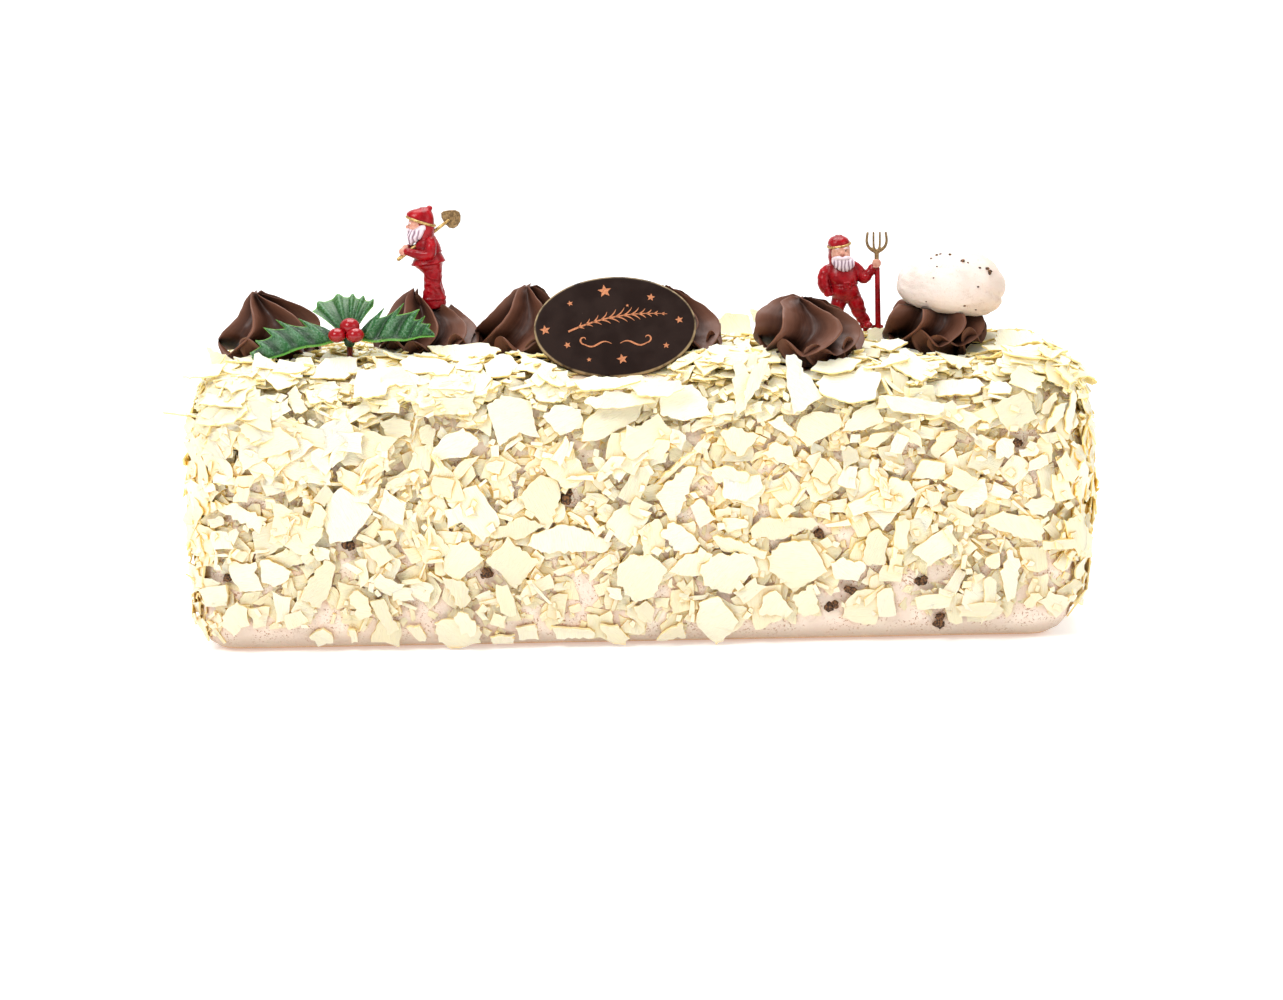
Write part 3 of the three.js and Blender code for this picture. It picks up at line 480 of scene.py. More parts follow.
class Shavings:
    """Shavings of one kind, all with the same net of points, gathered into one mesh."""

    def __init__(self, columns, rows, ragged):
        self.ragged = ragged
        self.points, self.tones, self.grains = [], [], []
        self.quads = np.array(sheet_net(columns, rows))
        shares = np.linspace(-0.5, 0.5, columns + 1), np.linspace(-0.5, 0.5, rows + 1)
        self.along, self.across = np.meshgrid(*shares, indexing="ij")
        self.at_ends = np.abs(self.along) > 0.49
        self.at_sides = np.abs(self.across) > 0.49

    def add(self, foot, normal, facing, shape, turn, tilt, share, sink):
        """Lays a plate at foot, turned in its plane and then tilted, if there is room for it."""
        matrix = pose_of(facing, turn, tilt)
        counts = [max(2, int(shape[key] / CELL) + 1) for key in ("length", "width")]
        net = np.meshgrid(*[np.linspace(-0.5, 0.5, count) for count in counts], indexing="ij")
        own = plate_at(shape, *net).reshape(-1, 3)
        spots = own @ matrix.T + np.array(foot)
        lift, slope, levels = settle(spots.tolist(), own[:, :2], shape["thick"], share)
        crowded = any(level > ceiling.get(cell, PILE_LIMIT) for cell, level in levels)
        raised = np.outer(lift + own[:, :2] @ slope + shape["thick"], np.array(normal))
        if crowded or meets_plaque(spots + raised):
            return False
        lay_on_pile(levels)
        lift -= sink
        upper = plate_at(shape, self.along, self.across)
        rags = draw.uniform(-self.ragged, self.ragged, (2, *self.along.shape))
        upper[..., 0] += np.where(self.at_ends, rags[0] * 1.6, 0)
        upper[..., 1] += np.where(self.at_sides, rags[1], 0)
        wedge = shape["thick"] * (0.7 + 0.6 * (self.across + 0.5))
        lower = upper.copy()
        lower[..., 2] -= wedge
        flat = np.concatenate([upper.reshape(-1, 3), lower.reshape(-1, 3)])
        flat[:, 2] += shape["thick"]
        raised = np.outer(lift + flat[:, :2] @ slope, np.array(normal))
        self.points.append(off_the_floor(flat @ matrix.T + np.array(foot) + raised))
        seed = np.full(len(flat), draw.uniform(0, 900))
        self.grains.append(np.column_stack([flat[:, :2], seed]))
        # 1 on the lower side, which carries painted shade on the undersides and rims
        under = np.repeat([0.0, 1.0], len(flat) // 2)
        # How deep in the pile the plate lies; deeper plates get painted shade
        deep = min(max(1 - (lift + 0.5) / 2.5, 0), 1)
        own = draw.uniform(0, 1)
        self.tones.append(np.stack([np.full(len(flat), own), under, np.full(len(flat), deep)], axis=-1))
        return True

    def finish(self, name):
        """Makes one piece of all the shavings."""
        count = len(self.points[0])
        points = np.concatenate(self.points)
        quads = np.concatenate([self.quads + count * k for k in range(len(self.points))])
        coat_piece(name, points, quads.tolist(), self)


def coat_piece(name, points, faces, kind):
    """Makes and enters a piece of the coat, with the tones, the painted shade and the scraped lines of its
    kind.
    """
    stored = {"tone": np.concatenate(kind.tones), "scrape": np.concatenate(kind.grains)}
    enter(make_piece(name, points, faces, ivory, 35, **stored), "cake")


SIDE_AREA, END_AREA, TOP_AREA = 2 * HALF_LENGTH * TOP, 2 * HALF_WIDTH * TOP, 4 * HALF_LENGTH * HALF_WIDTH
FACE_SHARES = np.array([SIDE_AREA, SIDE_AREA, END_AREA, END_AREA, TOP_AREA])
FACE_SHARES = FACE_SHARES / FACE_SHARES.sum()
# Where each rosette will stand: place along and across the log, and radius
ROSETTE_FEET = [
    (-131, -9, 17.6), (-75.5, -7, 17.6), (-40.5, -7, 16.8),
    (12.5, -9, 17.2), (59.8, -24, 18.6), (107, -6, 17.8),
]
# Dark crumbs of meringue that show on the front: place along the log and height
DARK_CRUMBS = [
    (-24.5, 55), (-102.5, 38.5), (131, 70.5), (72, 20), (97, 23),
    (102.5, 7), (66, 14), (61, 41), (-55, 28), (-146, 28),
]
# How far shavings reach under a rosette, between which heights they thin out towards the foot, which
# share stays on the foot itself, and how much they lie level at the top
ROSETTE_LAP = 4
SPARSE_BELOW = 42
SPARSEST_AT = 12
SHARE_ON_FOOT = 0.3
MOST_LEVELLED = 0.6
# The bare band at the foot: up to which place along the log it has which height
BARE_BAND = [(-105, 5), (34, 2.5), (math.inf, 12)]
# The shavings that catch the eye, with their corners as they look in the photograph, in millimetres
# from the middle of each. On the front: place along the log, height, tilt and the corners
FRONT_OUTLINES = [
    (-103, 51, 0.1, [(-5, 6), (-1, 9), (6, 5), (10, 1), (2, -9), (-5, -10), (-8, -2)]),
    (-139, 50.5, 0.2, [(-9, 3), (-3, 5), (8, -1), (6, -6), (-3, -1)]),
    (-128.5, 30.5, 0.15, [(-4, 5), (-1, 5), (6, 1), (4, -3), (0, -5), (-4, -3)]),
    (-113, 26, 0.15, [(-5, -1), (2, 9), (6, 7), (4, -1), (0, -9), (-6, -5)]),
    (-142.5, 15, 0.1, [(-5, -2), (-3, 3), (1, 6), (4, 3), (4, -3), (-1, -7)]),
    (-135, 13.5, 0.15, [(-4, 4), (4, 4), (2, -3), (-2, -4)]),
    (-98.5, 19, 0.25, [(-4, 3), (-1, 5), (2, 2), (4, -4), (-1, -6)]),
    (-89.5, 14.5, 0.3, [(-6, 6), (-1, 7), (2, -2), (4, -5), (0, -7)]),
    (-112, 3.5, 0.3, [(-5, 1), (0, 4), (3, 2), (3, -3), (-2, -4)]),
    (-63.5, 33.5, 0.1, [(-7, -3), (-5, 6), (3, 8), (8, 1), (3, -3), (-2, -8)]),
    (-64.5, 22, 0.2, [(-6, 6), (2, 4), (4, -3), (0, -6)]),
    (-65.5, 6, 0.15, [(-8, 5), (0, 7), (8, 3), (8, -4), (-1, -7), (-7, -4)]),
    (-62.5, 10.5, 0.25, [(-4, 4), (-1, 6), (4, 0), (3, -4), (-1, -3)]),
    (-45, 43.5, 0.1, [(-8, 0), (2, 5), (11, 2), (2, -3), (-8, -2)]),
    (-34, 56, 0.12, [(-9, 0), (-1, 8), (5, 6), (6, -1), (1, -12)]),
    (-45.5, 33, 0.15, [(-9, 0), (-2, 9), (9, 0), (1, -10)]),
    (-26.5, 40, 0.3, [(-14, -1), (-12, 3), (-2, 6), (5, 4), (16, -2), (14, -5), (-8, -4)]),
    (-1.5, 27.5, 0.12, [(-7, 4), (-3, 7), (4, 8), (10, 2), (5, -8), (-2, -10), (-8, -2)]),
    (17.5, 30.5, 0.1, [(-9, -2), (-3, 4), (5, 5), (7, 2), (5, -4), (-3, -4)]),
    (28, 28, 0.12, [(-9, 1), (-4, 6), (9, 6), (12, 0), (1, -9), (-7, -5)]),
    (14, 39.5, 0.2, [(-8, 3), (-3, 7), (6, -1), (4, -4), (-1, -5)]),
    (20.5, 49.5, 0.2, [(-4, 2), (0, 5), (5, -2), (-1, -6)]),
    (13, 57.5, 0.35, [(-9, -2), (3, 9), (6, 8), (3, 0), (-3, -14)]),
    (10.5, 64.5, 0.9, [(-7, -8), (3, 7), (7, 9), (-3, -7)]),
    (-9.5, 1.5, 0.2, [(-6, 5), (0, 5), (4, -1), (3, -4), (-2, -4)]),
    (-50, 0.5, 0.3, [(-4, 2), (4, 2), (4, -3), (-3, -3)]),
    (0.5, 14, 0.2, [(-4, 2), (0, 4), (3, 1), (2, -4), (-2, -3)]),
    (25, 7, 0.1, [(-6, 8), (1, 11), (8, 0), (4, -7), (0, -10), (-7, -1)]),
    (51, 30.5, 0.12, [(-8, 2), (-4, 7), (7, 8), (13, -3), (1, -11), (-7, -3)]),
    (47.5, 43.5, 0.3, [(-10, 0), (-6, 4), (12, 3), (14, 0), (0, -4), (-9, -3)]),
    (34.5, 57, 0.2, [(-7, 4), (6, 5), (7, 0), (1, -4), (-7, -3)]),
    (34, 36.5, 0.3, [(-10, 5), (9, -1), (8, -4), (-7, -1)]),
    (81, 36, 0.2, [(-3, 5), (1, 7), (4, 3), (3, -7), (-5, -7)]),
    (83, 47.5, 0.25, [(-6, 2), (1, 4), (5, 0), (0, -6)]),
    (70.5, 28.5, 0.15, [(-5, 2), (-1, 4), (7, 1), (4, -5), (-4, -4)]),
    (56.5, 16, 0.15, [(-5, 2), (2, 7), (5, -3), (-1, -5)]),
    (46, 15.5, 0.15, [(-6, -3), (-4, 3), (0, 6), (6, -2), (4, -4)]),
    (127.5, 24.5, 0.15, [(-3, 2), (0, 10), (4, 5), (2, -8), (-1, -9)]),
    (130, 42, 0.25, [(-13, 2), (-5, 5), (10, 2), (8, -6), (-1, -3)]),
    (138, 49, 0.3, [(-6, 1), (1, 4), (6, 2), (1, -4), (-3, -3)]),
    (125.5, 70, 0.3, [(-3, 2), (0, 4), (3, 3), (3, -2), (1, -4), (-3, -4)]),
    (104, 71.5, 0.35, [(-5, -3), (-1, 4), (5, 5), (4, 0), (-2, -6)]),
    (115, 53.5, 0.15, [(-6, -2), (-3, 3), (4, 6), (5, -1), (0, -6)]),
    (100.5, 62.5, 0.2, [(-7, -3), (-3, 4), (4, 3), (5, -3)]),
    (-84, 81, 0.15, [(-6, 2), (-1, 4), (5, 2), (4, -3), (-3, -4)]),
    (-74, 78.5, 0.3, [(-3, 2), (0, 4), (3, 2), (2, -4), (-2, -3)]),
    (-65, 74, 0.25, [(-8, -3), (-4, 3), (3, 6), (9, 2), (4, -4), (-5, -5)]),
    (-119.5, 91.5, 0.2, [(-3, 3), (0, 6), (5, -4), (0, -5)]),
    (-44, 83, 0.25, [(-9, 5), (-4, 9), (6, 7), (9, -6), (2, -4), (-5, -9)]),
    (-26.5, 82, 0.3, [(-8, 1), (-2, 5), (5, 3), (6, -3), (-2, -6)]),
    (-12, 82.5, 0.35, [(-10, -7), (-9, 0), (2, 9), (12, 5), (9, -1), (-4, -7)]),
    (15, 88, 0.1, [(-9, 5), (2, 7), (6, 3), (9, -4), (-1, -6), (-9, -4)]),
    (33, 74.5, 0.2, [(-6, 3), (-1, 5), (8, 1), (1, -6), (-3, -3)]),
    (49.5, 78.5, 0.3, [(-6, 2), (-1, 4), (6, -4), (1, -3)]),
    (60.5, 79, 0.08, [(-6, 2), (-1, 5), (8, 4), (10, 0), (-3, -7), (-7, -3)]),
    (77, 81, 0.15, [(-8, -4), (-3, 3), (4, 6), (7, -1), (0, -4)]),
    (81.5, 74, 0.4, [(-6, -2), (-1, 2), (7, 3), (0, -3)]),
    (48.5, 69.5, 0.25, [(-7, 0), (-2, 4), (3, 3), (6, -6)]),
    (30, 62.5, 0.35, [(-7, 2), (0, 3), (7, 0), (5, -3), (-5, -3)]),
    (141, 85.5, 0.2, [(-3, -3), (-2, 0), (3, 4), (4, 1), (-1, -4)]),
    (145, 81, 0.3, [(-5, -3), (0, 4), (5, 5), (3, 0), (-4, -5)]),
    (152, 82, 0.2, [(-3, -5), (-1, 0), (1, 8), (3, 6), (1, -2), (-1, -7)]),
    (-80, 4, 0.3, [(-3, 4), (2, 5), (3, -3), (1, -3), (-2, 0)]),
    (-41, 4, 0.25, [(-4, 2), (3, 4), (4, -3), (-3, -3)]),
    (-25, 3.5, 0.3, [(-8, 3), (6, 2), (8, -1), (6, -2), (-6, -2)]),
    (-102.5, 4, 0.3, [(-1, 4), (2, 4), (2, -2), (0, -3)]),
    (9.5, 5, 0.35, [(-5, -3), (-1, 2), (4, 5), (5, -3)]),
]
# On the top: place, how steep it stands in degrees, and the corners
TOP_OUTLINES = [
    (-61.5, -27, 103, 40, [(-13, 2), (-3, 3), (7, 4), (13, 0), (2, -6), (-8, -3)]),
    (-48, -38, 99, 35, [(-6, 1), (-1, 6), (3, 5), (6, 0), (2, -5), (-5, -6)]),
    (-105.5, -36, 99.5, 35, [(-8, -1), (-4, 4), (3, 5), (7, 4), (7, -2), (3, -6), (-9, -5)]),
    (-88, -47, 95, 40, [(-10, 6), (4, 7), (17, 1), (1, -1), (0, -5), (-11, -7)]),
    (-74.5, -40, 100, 30, [(-9, 1), (-6, 4), (5, 3), (10, -1), (8, -5), (-8, -3)]),
    (-12, -49, 94, 35, [(-11, 1), (-4, 3), (9, 2), (12, 0), (3, -3), (-8, -3)]),
    (5, -51, 92.5, 50, [(-9, 1), (-2, 3), (8, 2), (10, -1), (4, -4), (-6, -3)]),
    (-8, -52.5, 89, 65, [(-12, 0), (-3, 3), (10, 2), (13, -1), (2, -3), (-9, -3)]),
    (68, -42, 97.8, 22, [(-9, -3), (-6, 2), (4, 5), (9, 3), (5, -3), (-3, -5)]),
    (37.5, -16, 97.5, 25, [(-13, 2), (-9, 6), (0, 8), (6, 4), (15, -8), (7, -12), (-8, -3)]),
    (71.5, -48, 91.5, 40, [(-9, -5), (-11, 0), (-8, 4), (7, 9), (12, 5), (9, -6), (1, -8)]),
    (95, -34, 94, 30, [(-11, 6), (-2, 9), (6, 7), (11, 1), (6, -6), (-2, -11), (-8, -5)]),
    (113.5, -34, 94, 20, [(-9, -5), (-7, 4), (7, 6), (8, -3)]),
    (109, -45, 89.5, 45, [(-10, 0), (-9, 3), (8, 4), (10, 1), (7, -3), (-6, -3)]),
    (93, -53, 85.5, 70, [(-10, 3), (-2, 3), (12, 0), (9, -4), (-7, -2)]),
    (134, -14, 101, 30, [(-7, -1), (-5, 7), (6, 6), (11, 1), (2, -8), (-6, -7)]),
    (88.5, -26, 102.5, 20, [(-5, -2), (-3, 3), (3, 4), (6, 0), (0, -4)]),
    (112.5, -28, 97, 10, [(-8, 5), (-1, 4), (9, -4), (0, -5)]),
    (-151, -42, 100, 25, [(-7, -4), (-5, 4), (1, 3), (7, 4), (5, -3), (-2, -4)]),
    (55.5, -48, 93, 75, [(-5, 10), (-1, 10), (1, 4), (3, 2), (7, -5), (1, -9), (-3, -11), (-5, 0)]),
    (35, -49, 92.5, 80, [(-3, 8), (0, 9), (2, 5), (4, 1), (1, -8), (-2, -10), (-3, -6)]),
    (39, -50, 94.5, 70, [(-1, 4), (1, 6), (5, 7), (4, 2), (-1, -6), (-4, -9), (-3, -3)]),
    (35.5, 38, 101.5, 60, [(-7, 1), (-2, 6), (7, 5), (8, -4), (1, -4), (-6, -3)]),
    (46.5, 36, 106, 75, [(-4, 3), (4, 2), (4, -2), (-3, -2)]),
    (86, 2, 102.5, 80, [(-3, 2), (3, 3), (3, -2), (-3, -2)]),
    (-147.5, -22, 102, 70, [(-5, 4), (2, 1), (5, -2), (-3, -3)]),
    (-157.5, -38, 84, 0, [(-9, -1), (8, -4), (9, 3), (-8, 1)]),
]
UNDER_BROAD = 3.2


def under_outline(foot, facing, corners, share):
    """Cells of the loaf under the middle share of an outlined shaving, and how far above them it lies."""
    matrix = pose_of(facing, 0, (0, 0))
    middle = np.mean(corners, axis=0)
    corners = [tuple(middle + (np.array(corner) - middle) * share) for corner in corners]
    edges = list(zip(corners, corners[1:] + corners[:1]))
    (low_x, high_x), (low_y, high_y) = [(min(values), max(values)) for values in zip(*corners)]
    found = []
    for x in np.arange(low_x, high_x + 1, 0.8 * CELL):
        for y in np.arange(low_y, high_y + 1, 0.8 * CELL):
            crossings = 0
            for (ax, ay), (bx, by) in edges:
                if (ay > y) != (by > y) and ax + (bx - ax) * (y - ay) / (by - ay) > x:
                    crossings += 1
            if crossings % 2:
                spot = foot + Vector((matrix @ np.array((x, y, 0))).tolist())
                place, out, _, _ = loaf_tree.find_nearest(spot)
                found.append((cell_of(place), (spot - place).dot(out)))
    return found


def leaning_back(slope):
    """The outward direction of a shaving that leans back from the front by a slope in degrees."""
    return Vector((0, -math.sin(math.radians(slope)), math.cos(math.radians(slope))))


for x, z, _, corners in FRONT_OUTLINES:
    foot, normal, _, _ = loaf_tree.find_nearest((x, -HALF_WIDTH - 3, z))
    for cell, _ in under_outline(foot, normal, corners, 0.78):
        ceiling[cell] = UNDER_BROAD
for x, y, z, slope, corners in TOP_OUTLINES:
    for cell, room in under_outline(Vector((x, y, z)), leaning_back(slope), corners, 0.8):
        if room > 0:
            ceiling[cell] = min(ceiling.get(cell, PILE_LIMIT), max(room - 0.3, 1.0))


def scatter_foot():
    """A random place on the sides, ends and top, evenly by area, and the outward direction there."""
    face = draw.choice(5, p=FACE_SHARES)
    along, across = draw.uniform(-1, 1) * HALF_LENGTH, draw.uniform(-1, 1) * HALF_WIDTH
    z = 2 + draw.uniform(0, 1) * TOP
    away = 3 if face % 2 else -3
    if face < 2:
        spot = (along, math.copysign(HALF_WIDTH, away) + away, z)
    elif face < 4:
        spot = (math.copysign(HALF_LENGTH, away) + away, across, z)
    else:
        spot = (along, across, TOP + 4)
    place, out, _, _ = loaf_tree.find_nearest(spot)
    return place, out


def free(foot, reach):
    """Whether a place is clear of the rosettes, the plaque, the dark crumbs and the bare band at the foot."""
    if foot.z < next(height for end, height in BARE_BAND if foot.x < end):
        return False
    plaque_x, plaque_y, _ = PLAQUE_PLACE.translation
    if foot.z > TOP - 9 and abs(foot.x - plaque_x) < 19 and abs(foot.y - plaque_y) < 1.4 + 0.5 * reach:
        return False
    if foot.z > TOP - 4:
        return all(
            math.hypot(foot.x - x, foot.y - y) > radius - ROSETTE_LAP + 0.5 * reach
            for x, y, radius in ROSETTE_FEET
        )
    if foot.y < 5 - HALF_WIDTH:
        return all(math.hypot(foot.x - x, foot.z - z) > 2 + reach * 0.9 for x, z in DARK_CRUMBS)
    return True


def scatter(kind, count, length, width, tilt, share, sink, low=0.5, above=0):
    """Scatters shavings above a least height; low is the share of them that is kept near the foot."""
    laid = 0
    while laid < count:
        foot, normal = scatter_foot()
        keep = 0.0 if foot.z < above else 1.0
        if 0 < keep and foot.z < SPARSE_BELOW:
            keep = low + (1 - low) * max(foot.z - SPARSEST_AT, 0) / (SPARSE_BELOW - SPARSEST_AT)
        if foot.z < FOOT_HEIGHT:
            keep *= SHARE_ON_FOOT
        if draw.uniform(0, 1) > keep:
            continue
        size = draw.uniform(*length)
        if not free(foot, size / 2):
            continue
        flatter = draw.uniform(0, MOST_LEVELLED) * min(max((foot.z - 62) / 25, 0), 1)
        facing = (normal + Vector((0, 0, flatter))).normalized()
        shape = new_shape(size, draw.uniform(*width))
        turned = draw.uniform(-0.5, 0.5) if flatter > 0.25 else draw.uniform(0, math.pi)
        leaning = (draw.uniform(*tilt), draw.uniform(0, 2 * math.pi))
        laid += kind.add(foot, normal, facing, shape, turned, leaning, share, sink)


# The order of the real work: fine crumbs first, then shavings of every size, the widest on the outside
crumbs = Shavings(1, 1, 0.15)
slivers = Shavings(3, 1, 0.15)
small_shavings = Shavings(4, 3, 0.3)
middling_shavings = Shavings(4, 2, 0.4)
wide_shavings = Shavings(8, 6, 0.42)
scatter(crumbs, 4300, (1.6, 4.2), (1.2, 3.0), (0, 0.4), 0.6, 0.3, low=0.45)
scatter(small_shavings, 1000, (4.5, 8.5), (3.2, 6), (0, 0.3), 0.85, 0.3)
scatter(slivers, 800, (4, 10), (0.9, 2.2), (0, 0.4), 0.7, 0.2)
scatter(crumbs, 1100, (2.2, 4.5), (1.6, 3.2), (0.1, 0.5), 0.7, 0.2, low=0.4)
scatter(middling_shavings, 1700, (6, 12), (4, 8), (0.03, 0.4), 0.86, 0.3, low=0.4)
scatter(crumbs, 1600, (2.2, 4.6), (1.6, 3.2), (0, 0.4), 0.7, 0.2, above=72)
scatter(small_shavings, 350, (5, 9), (3.5, 6), (0, 0.2), 0.88, 0.3, above=74)
scatter(wide_shavings, 300, (10, 17), (7, 11), (0.02, 0.22), 0.94, 0.1, low=0.4)

# Wide shavings lie like thatch along the upper edges, the uppermost nearly level
THATCH_TRIES = 230
THATCH_HEIGHTS = (76, 100)
for side in (-1, 1):
    for _ in range(THATCH_TRIES):
        height = draw.uniform(*THATCH_HEIGHTS)
        spot = (draw.uniform(-150, 150), side * (HALF_WIDTH + 6 - max(height - 84, 0) * 1.5), height)
        place, out, _, _ = loaf_tree.find_nearest(spot)
        if not free(place, 3):
            continue
        facing = (out + Vector((0, 0, draw.uniform(0.0, 0.9) * (height - 70) / 20))).normalized()
        shape = new_shape(draw.uniform(11, 23), draw.uniform(6, 11), 0.8)
        leaning = (draw.uniform(0, 0.3), draw.uniform(0, 2 * math.pi))
        wide_shavings.add(place, out, facing, shape, draw.uniform(-0.6, 0.6), leaning, 0.93, 0.15)

scatter(slivers, 600, (4, 9), (0.7, 1.8), (0.1, 0.7), 0.8, 0.3, low=0.4)
scatter(small_shavings, 250, (4, 7), (3, 5), (0.1, 0.5), 0.85, 0.3, low=0.35)
scatter(crumbs, 1200, (1.2, 3.0), (1.0, 2.2), (0, 0.6), 0.85, 0.2, low=0.6)

# An outlined shaving is a net of rings, each a share of its outline, with points about this far apart
RING_SHARES = (1.0, 0.72, 0.42, 0.14)
OUTLINE_STEP = 1.4


class BroadShavings:
    """Shavings with outlines of their own, gathered into one mesh."""

    def __init__(self):
        self.points, self.faces, self.tones, self.grains = [], [], [], []
        self.count = 0

    def add(self, foot, normal, facing, corners, tilt, tone):
        """Lays a shaving on the pile along the normal, or, without one, just at foot."""
        outline = []
        for (ax, ay), (bx, by) in zip(corners, corners[1:] + corners[:1]):
            length = math.hypot(bx - ax, by - ay)
            steps = max(2, round(length / OUTLINE_STEP))
            rough = draw.choice((0.3, 0.7))
            for k in range(steps):
                off = draw.uniform(-rough, rough) / length
                x = ax + (bx - ax) * k / steps - (by - ay) * off
                outline.append((x, ay + (by - ay) * k / steps + (bx - ax) * off))
        outline = np.array(outline)
        middle = outline.mean(axis=0)
        plane = np.concatenate([middle + (outline - middle) * share for share in RING_SHARES])
        way = draw.uniform(0, math.pi)
        along = (plane - middle) @ np.array((math.cos(way), math.sin(way)))
        height = draw.uniform(-0.3, 1.3) * (along / np.abs(along).max()) ** 2
        height += 0.12 * np.array([noise.noise(Vector((x, y, self.count)) * 0.4) for x, y in plane])
        thick = draw.uniform(0.6, 0.9)
        upper = np.column_stack([plane, height])
        matrix = pose_of(facing, 0, tilt)
        lift, slope = 0.0, np.zeros(2)
        if normal is not None:
            spots = upper @ matrix.T + np.array(foot)
            lift, slope, levels = settle(spots.tolist(), upper[:, :2], thick, 0.9)
            lay_on_pile(levels)
            lift += 0.15
        both = np.concatenate([upper + (0, 0, thick), upper])
        raised = np.outer(lift + both[:, :2] @ slope, np.array(facing if normal is None else normal))
        self.points.append(off_the_floor(both @ matrix.T + np.array(foot) + raised))
        turned = np.array(((math.cos(way), math.sin(way)), (-math.sin(way), math.cos(way))))
        grain = both[:, :2] @ turned.T
        self.grains.append(np.column_stack([grain, np.full(len(both), draw.uniform(0, 900))]))
        size, ring = len(plane), len(outline)
        # 1 on the lower side, which carries painted shade on the undersides and rims
        under = np.repeat([0.0, 1.0], size)
        self.tones.append(np.column_stack([np.full(len(both), tone), under, np.zeros(len(both))]))
        start = self.count
        for level in range(len(RING_SHARES) - 1):
            for k in range(ring):
                a, b = start + level * ring + k, start + level * ring + (k + 1) % ring
                self.faces.append((a, b, b + ring, a + ring))
                self.faces.append((a + size, a + ring + size, b + ring + size, b + size))
        last = start + (len(RING_SHARES) - 1) * ring
        self.faces.append(tuple(range(last, last + ring)))
        self.faces.append(tuple(reversed(range(last + size, last + size + ring))))
        for k in range(ring):
            a, b = start + k, start + (k + 1) % ring
            self.faces.append((a, a + size, b + size, b))
        self.count += len(both)


broad_shavings = BroadShavings()
for x, z, tilted, corners in FRONT_OUTLINES:
    foot, normal, _, _ = loaf_tree.find_nearest((x, -HALF_WIDTH - 3, z))
    leaning = (tilted, draw.uniform(-0.7, 0.7))
    tone = draw.choice((0.1, 0.35, 0.6, 0.95))
    broad_shavings.add(foot, normal, normal, corners, leaning, tone)
for x, y, z, slope, corners in TOP_OUTLINES:
    leaning = (draw.uniform(0, 0.12), draw.uniform(0, 6))
    broad_shavings.add((x, y, z), None, leaning_back(slope), corners, leaning, draw.uniform(0, 0.5))

# Broken pieces fall in between them and over their edges
scatter(middling_shavings, 800, (5, 11), (3.5, 6.5), (0.03, 0.35), 0.88, 0.2, low=0.45)
scatter(slivers, 200, (4, 9), (0.8, 2), (0, 0.5), 0.8, 0.2, low=0.5)
scatter(crumbs, 900, (1.6, 4.0), (1.2, 2.8), (0, 0.5), 0.8, 0.2, low=0.4)

ivory = Finish("white_chocolate", {
    "Roughness": 0.5,
    "Specular IOR Level": 0.3,
    "Subsurface Weight": 0.3,
    "Subsurface Radius": (1.0, 0.7, 0.3),
    "Subsurface Scale": 0.0015,
})
# The tone of each shaving, then 1 on its underside and how deep it lies, both for painted shade
tones, under, deep = [ivory.read("tone").axis(name) for name in "XYZ"]
lines = ivory.streaks("scrape", (0.3, 4.5, 1.0), 2.0)
height = ivory.place().axis("Z")
# Colours of the painted shade in the narrow gaps between shavings: deep yellow low down, paler at the top
gaps = ivory.blend(height.ramp(0.012, 0.045), (236, 192, 110), (255, 202, 48))
gaps = ivory.blend(height.ramp(0.07, 0.09) * 0.8, gaps, (255, 238, 178))
ivory.colour(
    tones, (241, 236, 214), (237, 226, 190),
    (tones.ramp(0.86, 1.0) * 0.7, (214, 206, 184)),
    # Painted shade on shavings that lie deep in the pile
    (deep * 0.35, (236, 216, 152)),
    (lines.ramp(0.5, 0.75) * 0.5, (214, 204, 172)),
    # Painted shade on the undersides and rims of the shavings
    (under.ramp(0.0, 0.3) * 0.8, (246, 216, 132)),
    ((1 - height.ramp(0.012, 0.05)) * 0.3, (212, 202, 178)),
    # Painted shade in the narrow gaps
    (ivory.shade(2.2, 0.25, 0.85) * 0.9, gaps),
)
ivory.feed("Normal", ivory.bump(lines, 0.3, 0.9))
crumbs.finish("shaving_crumbs")
slivers.finish("shaving_slivers")
small_shavings.finish("small_shavings")
middling_shavings.finish("middling_shavings")
wide_shavings.finish("wide_shavings")
coat_piece("broad_shavings", np.concatenate(broad_shavings.points), broad_shavings.faces, broad_shavings)

# Crumbs of baked meringue, dark brown, that the cream did not cover: rough lumps in pits of the front,
# and one on the top between the fourth and the fifth rosette.
def lump(centre, size, seed, squash=(1, 1, 1)):
    """A rough crumb: a ball of few faces, pushed in and out."""
    ball_mesh = bmesh.new()
    bmesh.ops.create_icosphere(ball_mesh, subdivisions=2, radius=1)
    points = []
    for vert in ball_mesh.verts:
        push = 1 + 0.55 * noise.noise(vert.co * 1.6 + Vector((seed * 3.7, seed, 0)))
        points.append([centre[i] + vert.co[i] * push * size * squash[i] for i in range(3)])
    faces = [[vert.index for vert in face.verts] for face in ball_mesh.faces]
    ball_mesh.free()
    return points, faces


def gather(parts):
    """Several closed parts as one list of points and one of faces."""
    points, faces = [], []
    for part_points, part_faces in parts:
        faces += [[index + len(points) for index in face] for face in part_faces]
        points += [list(point) for point in part_points]
    return points, faces


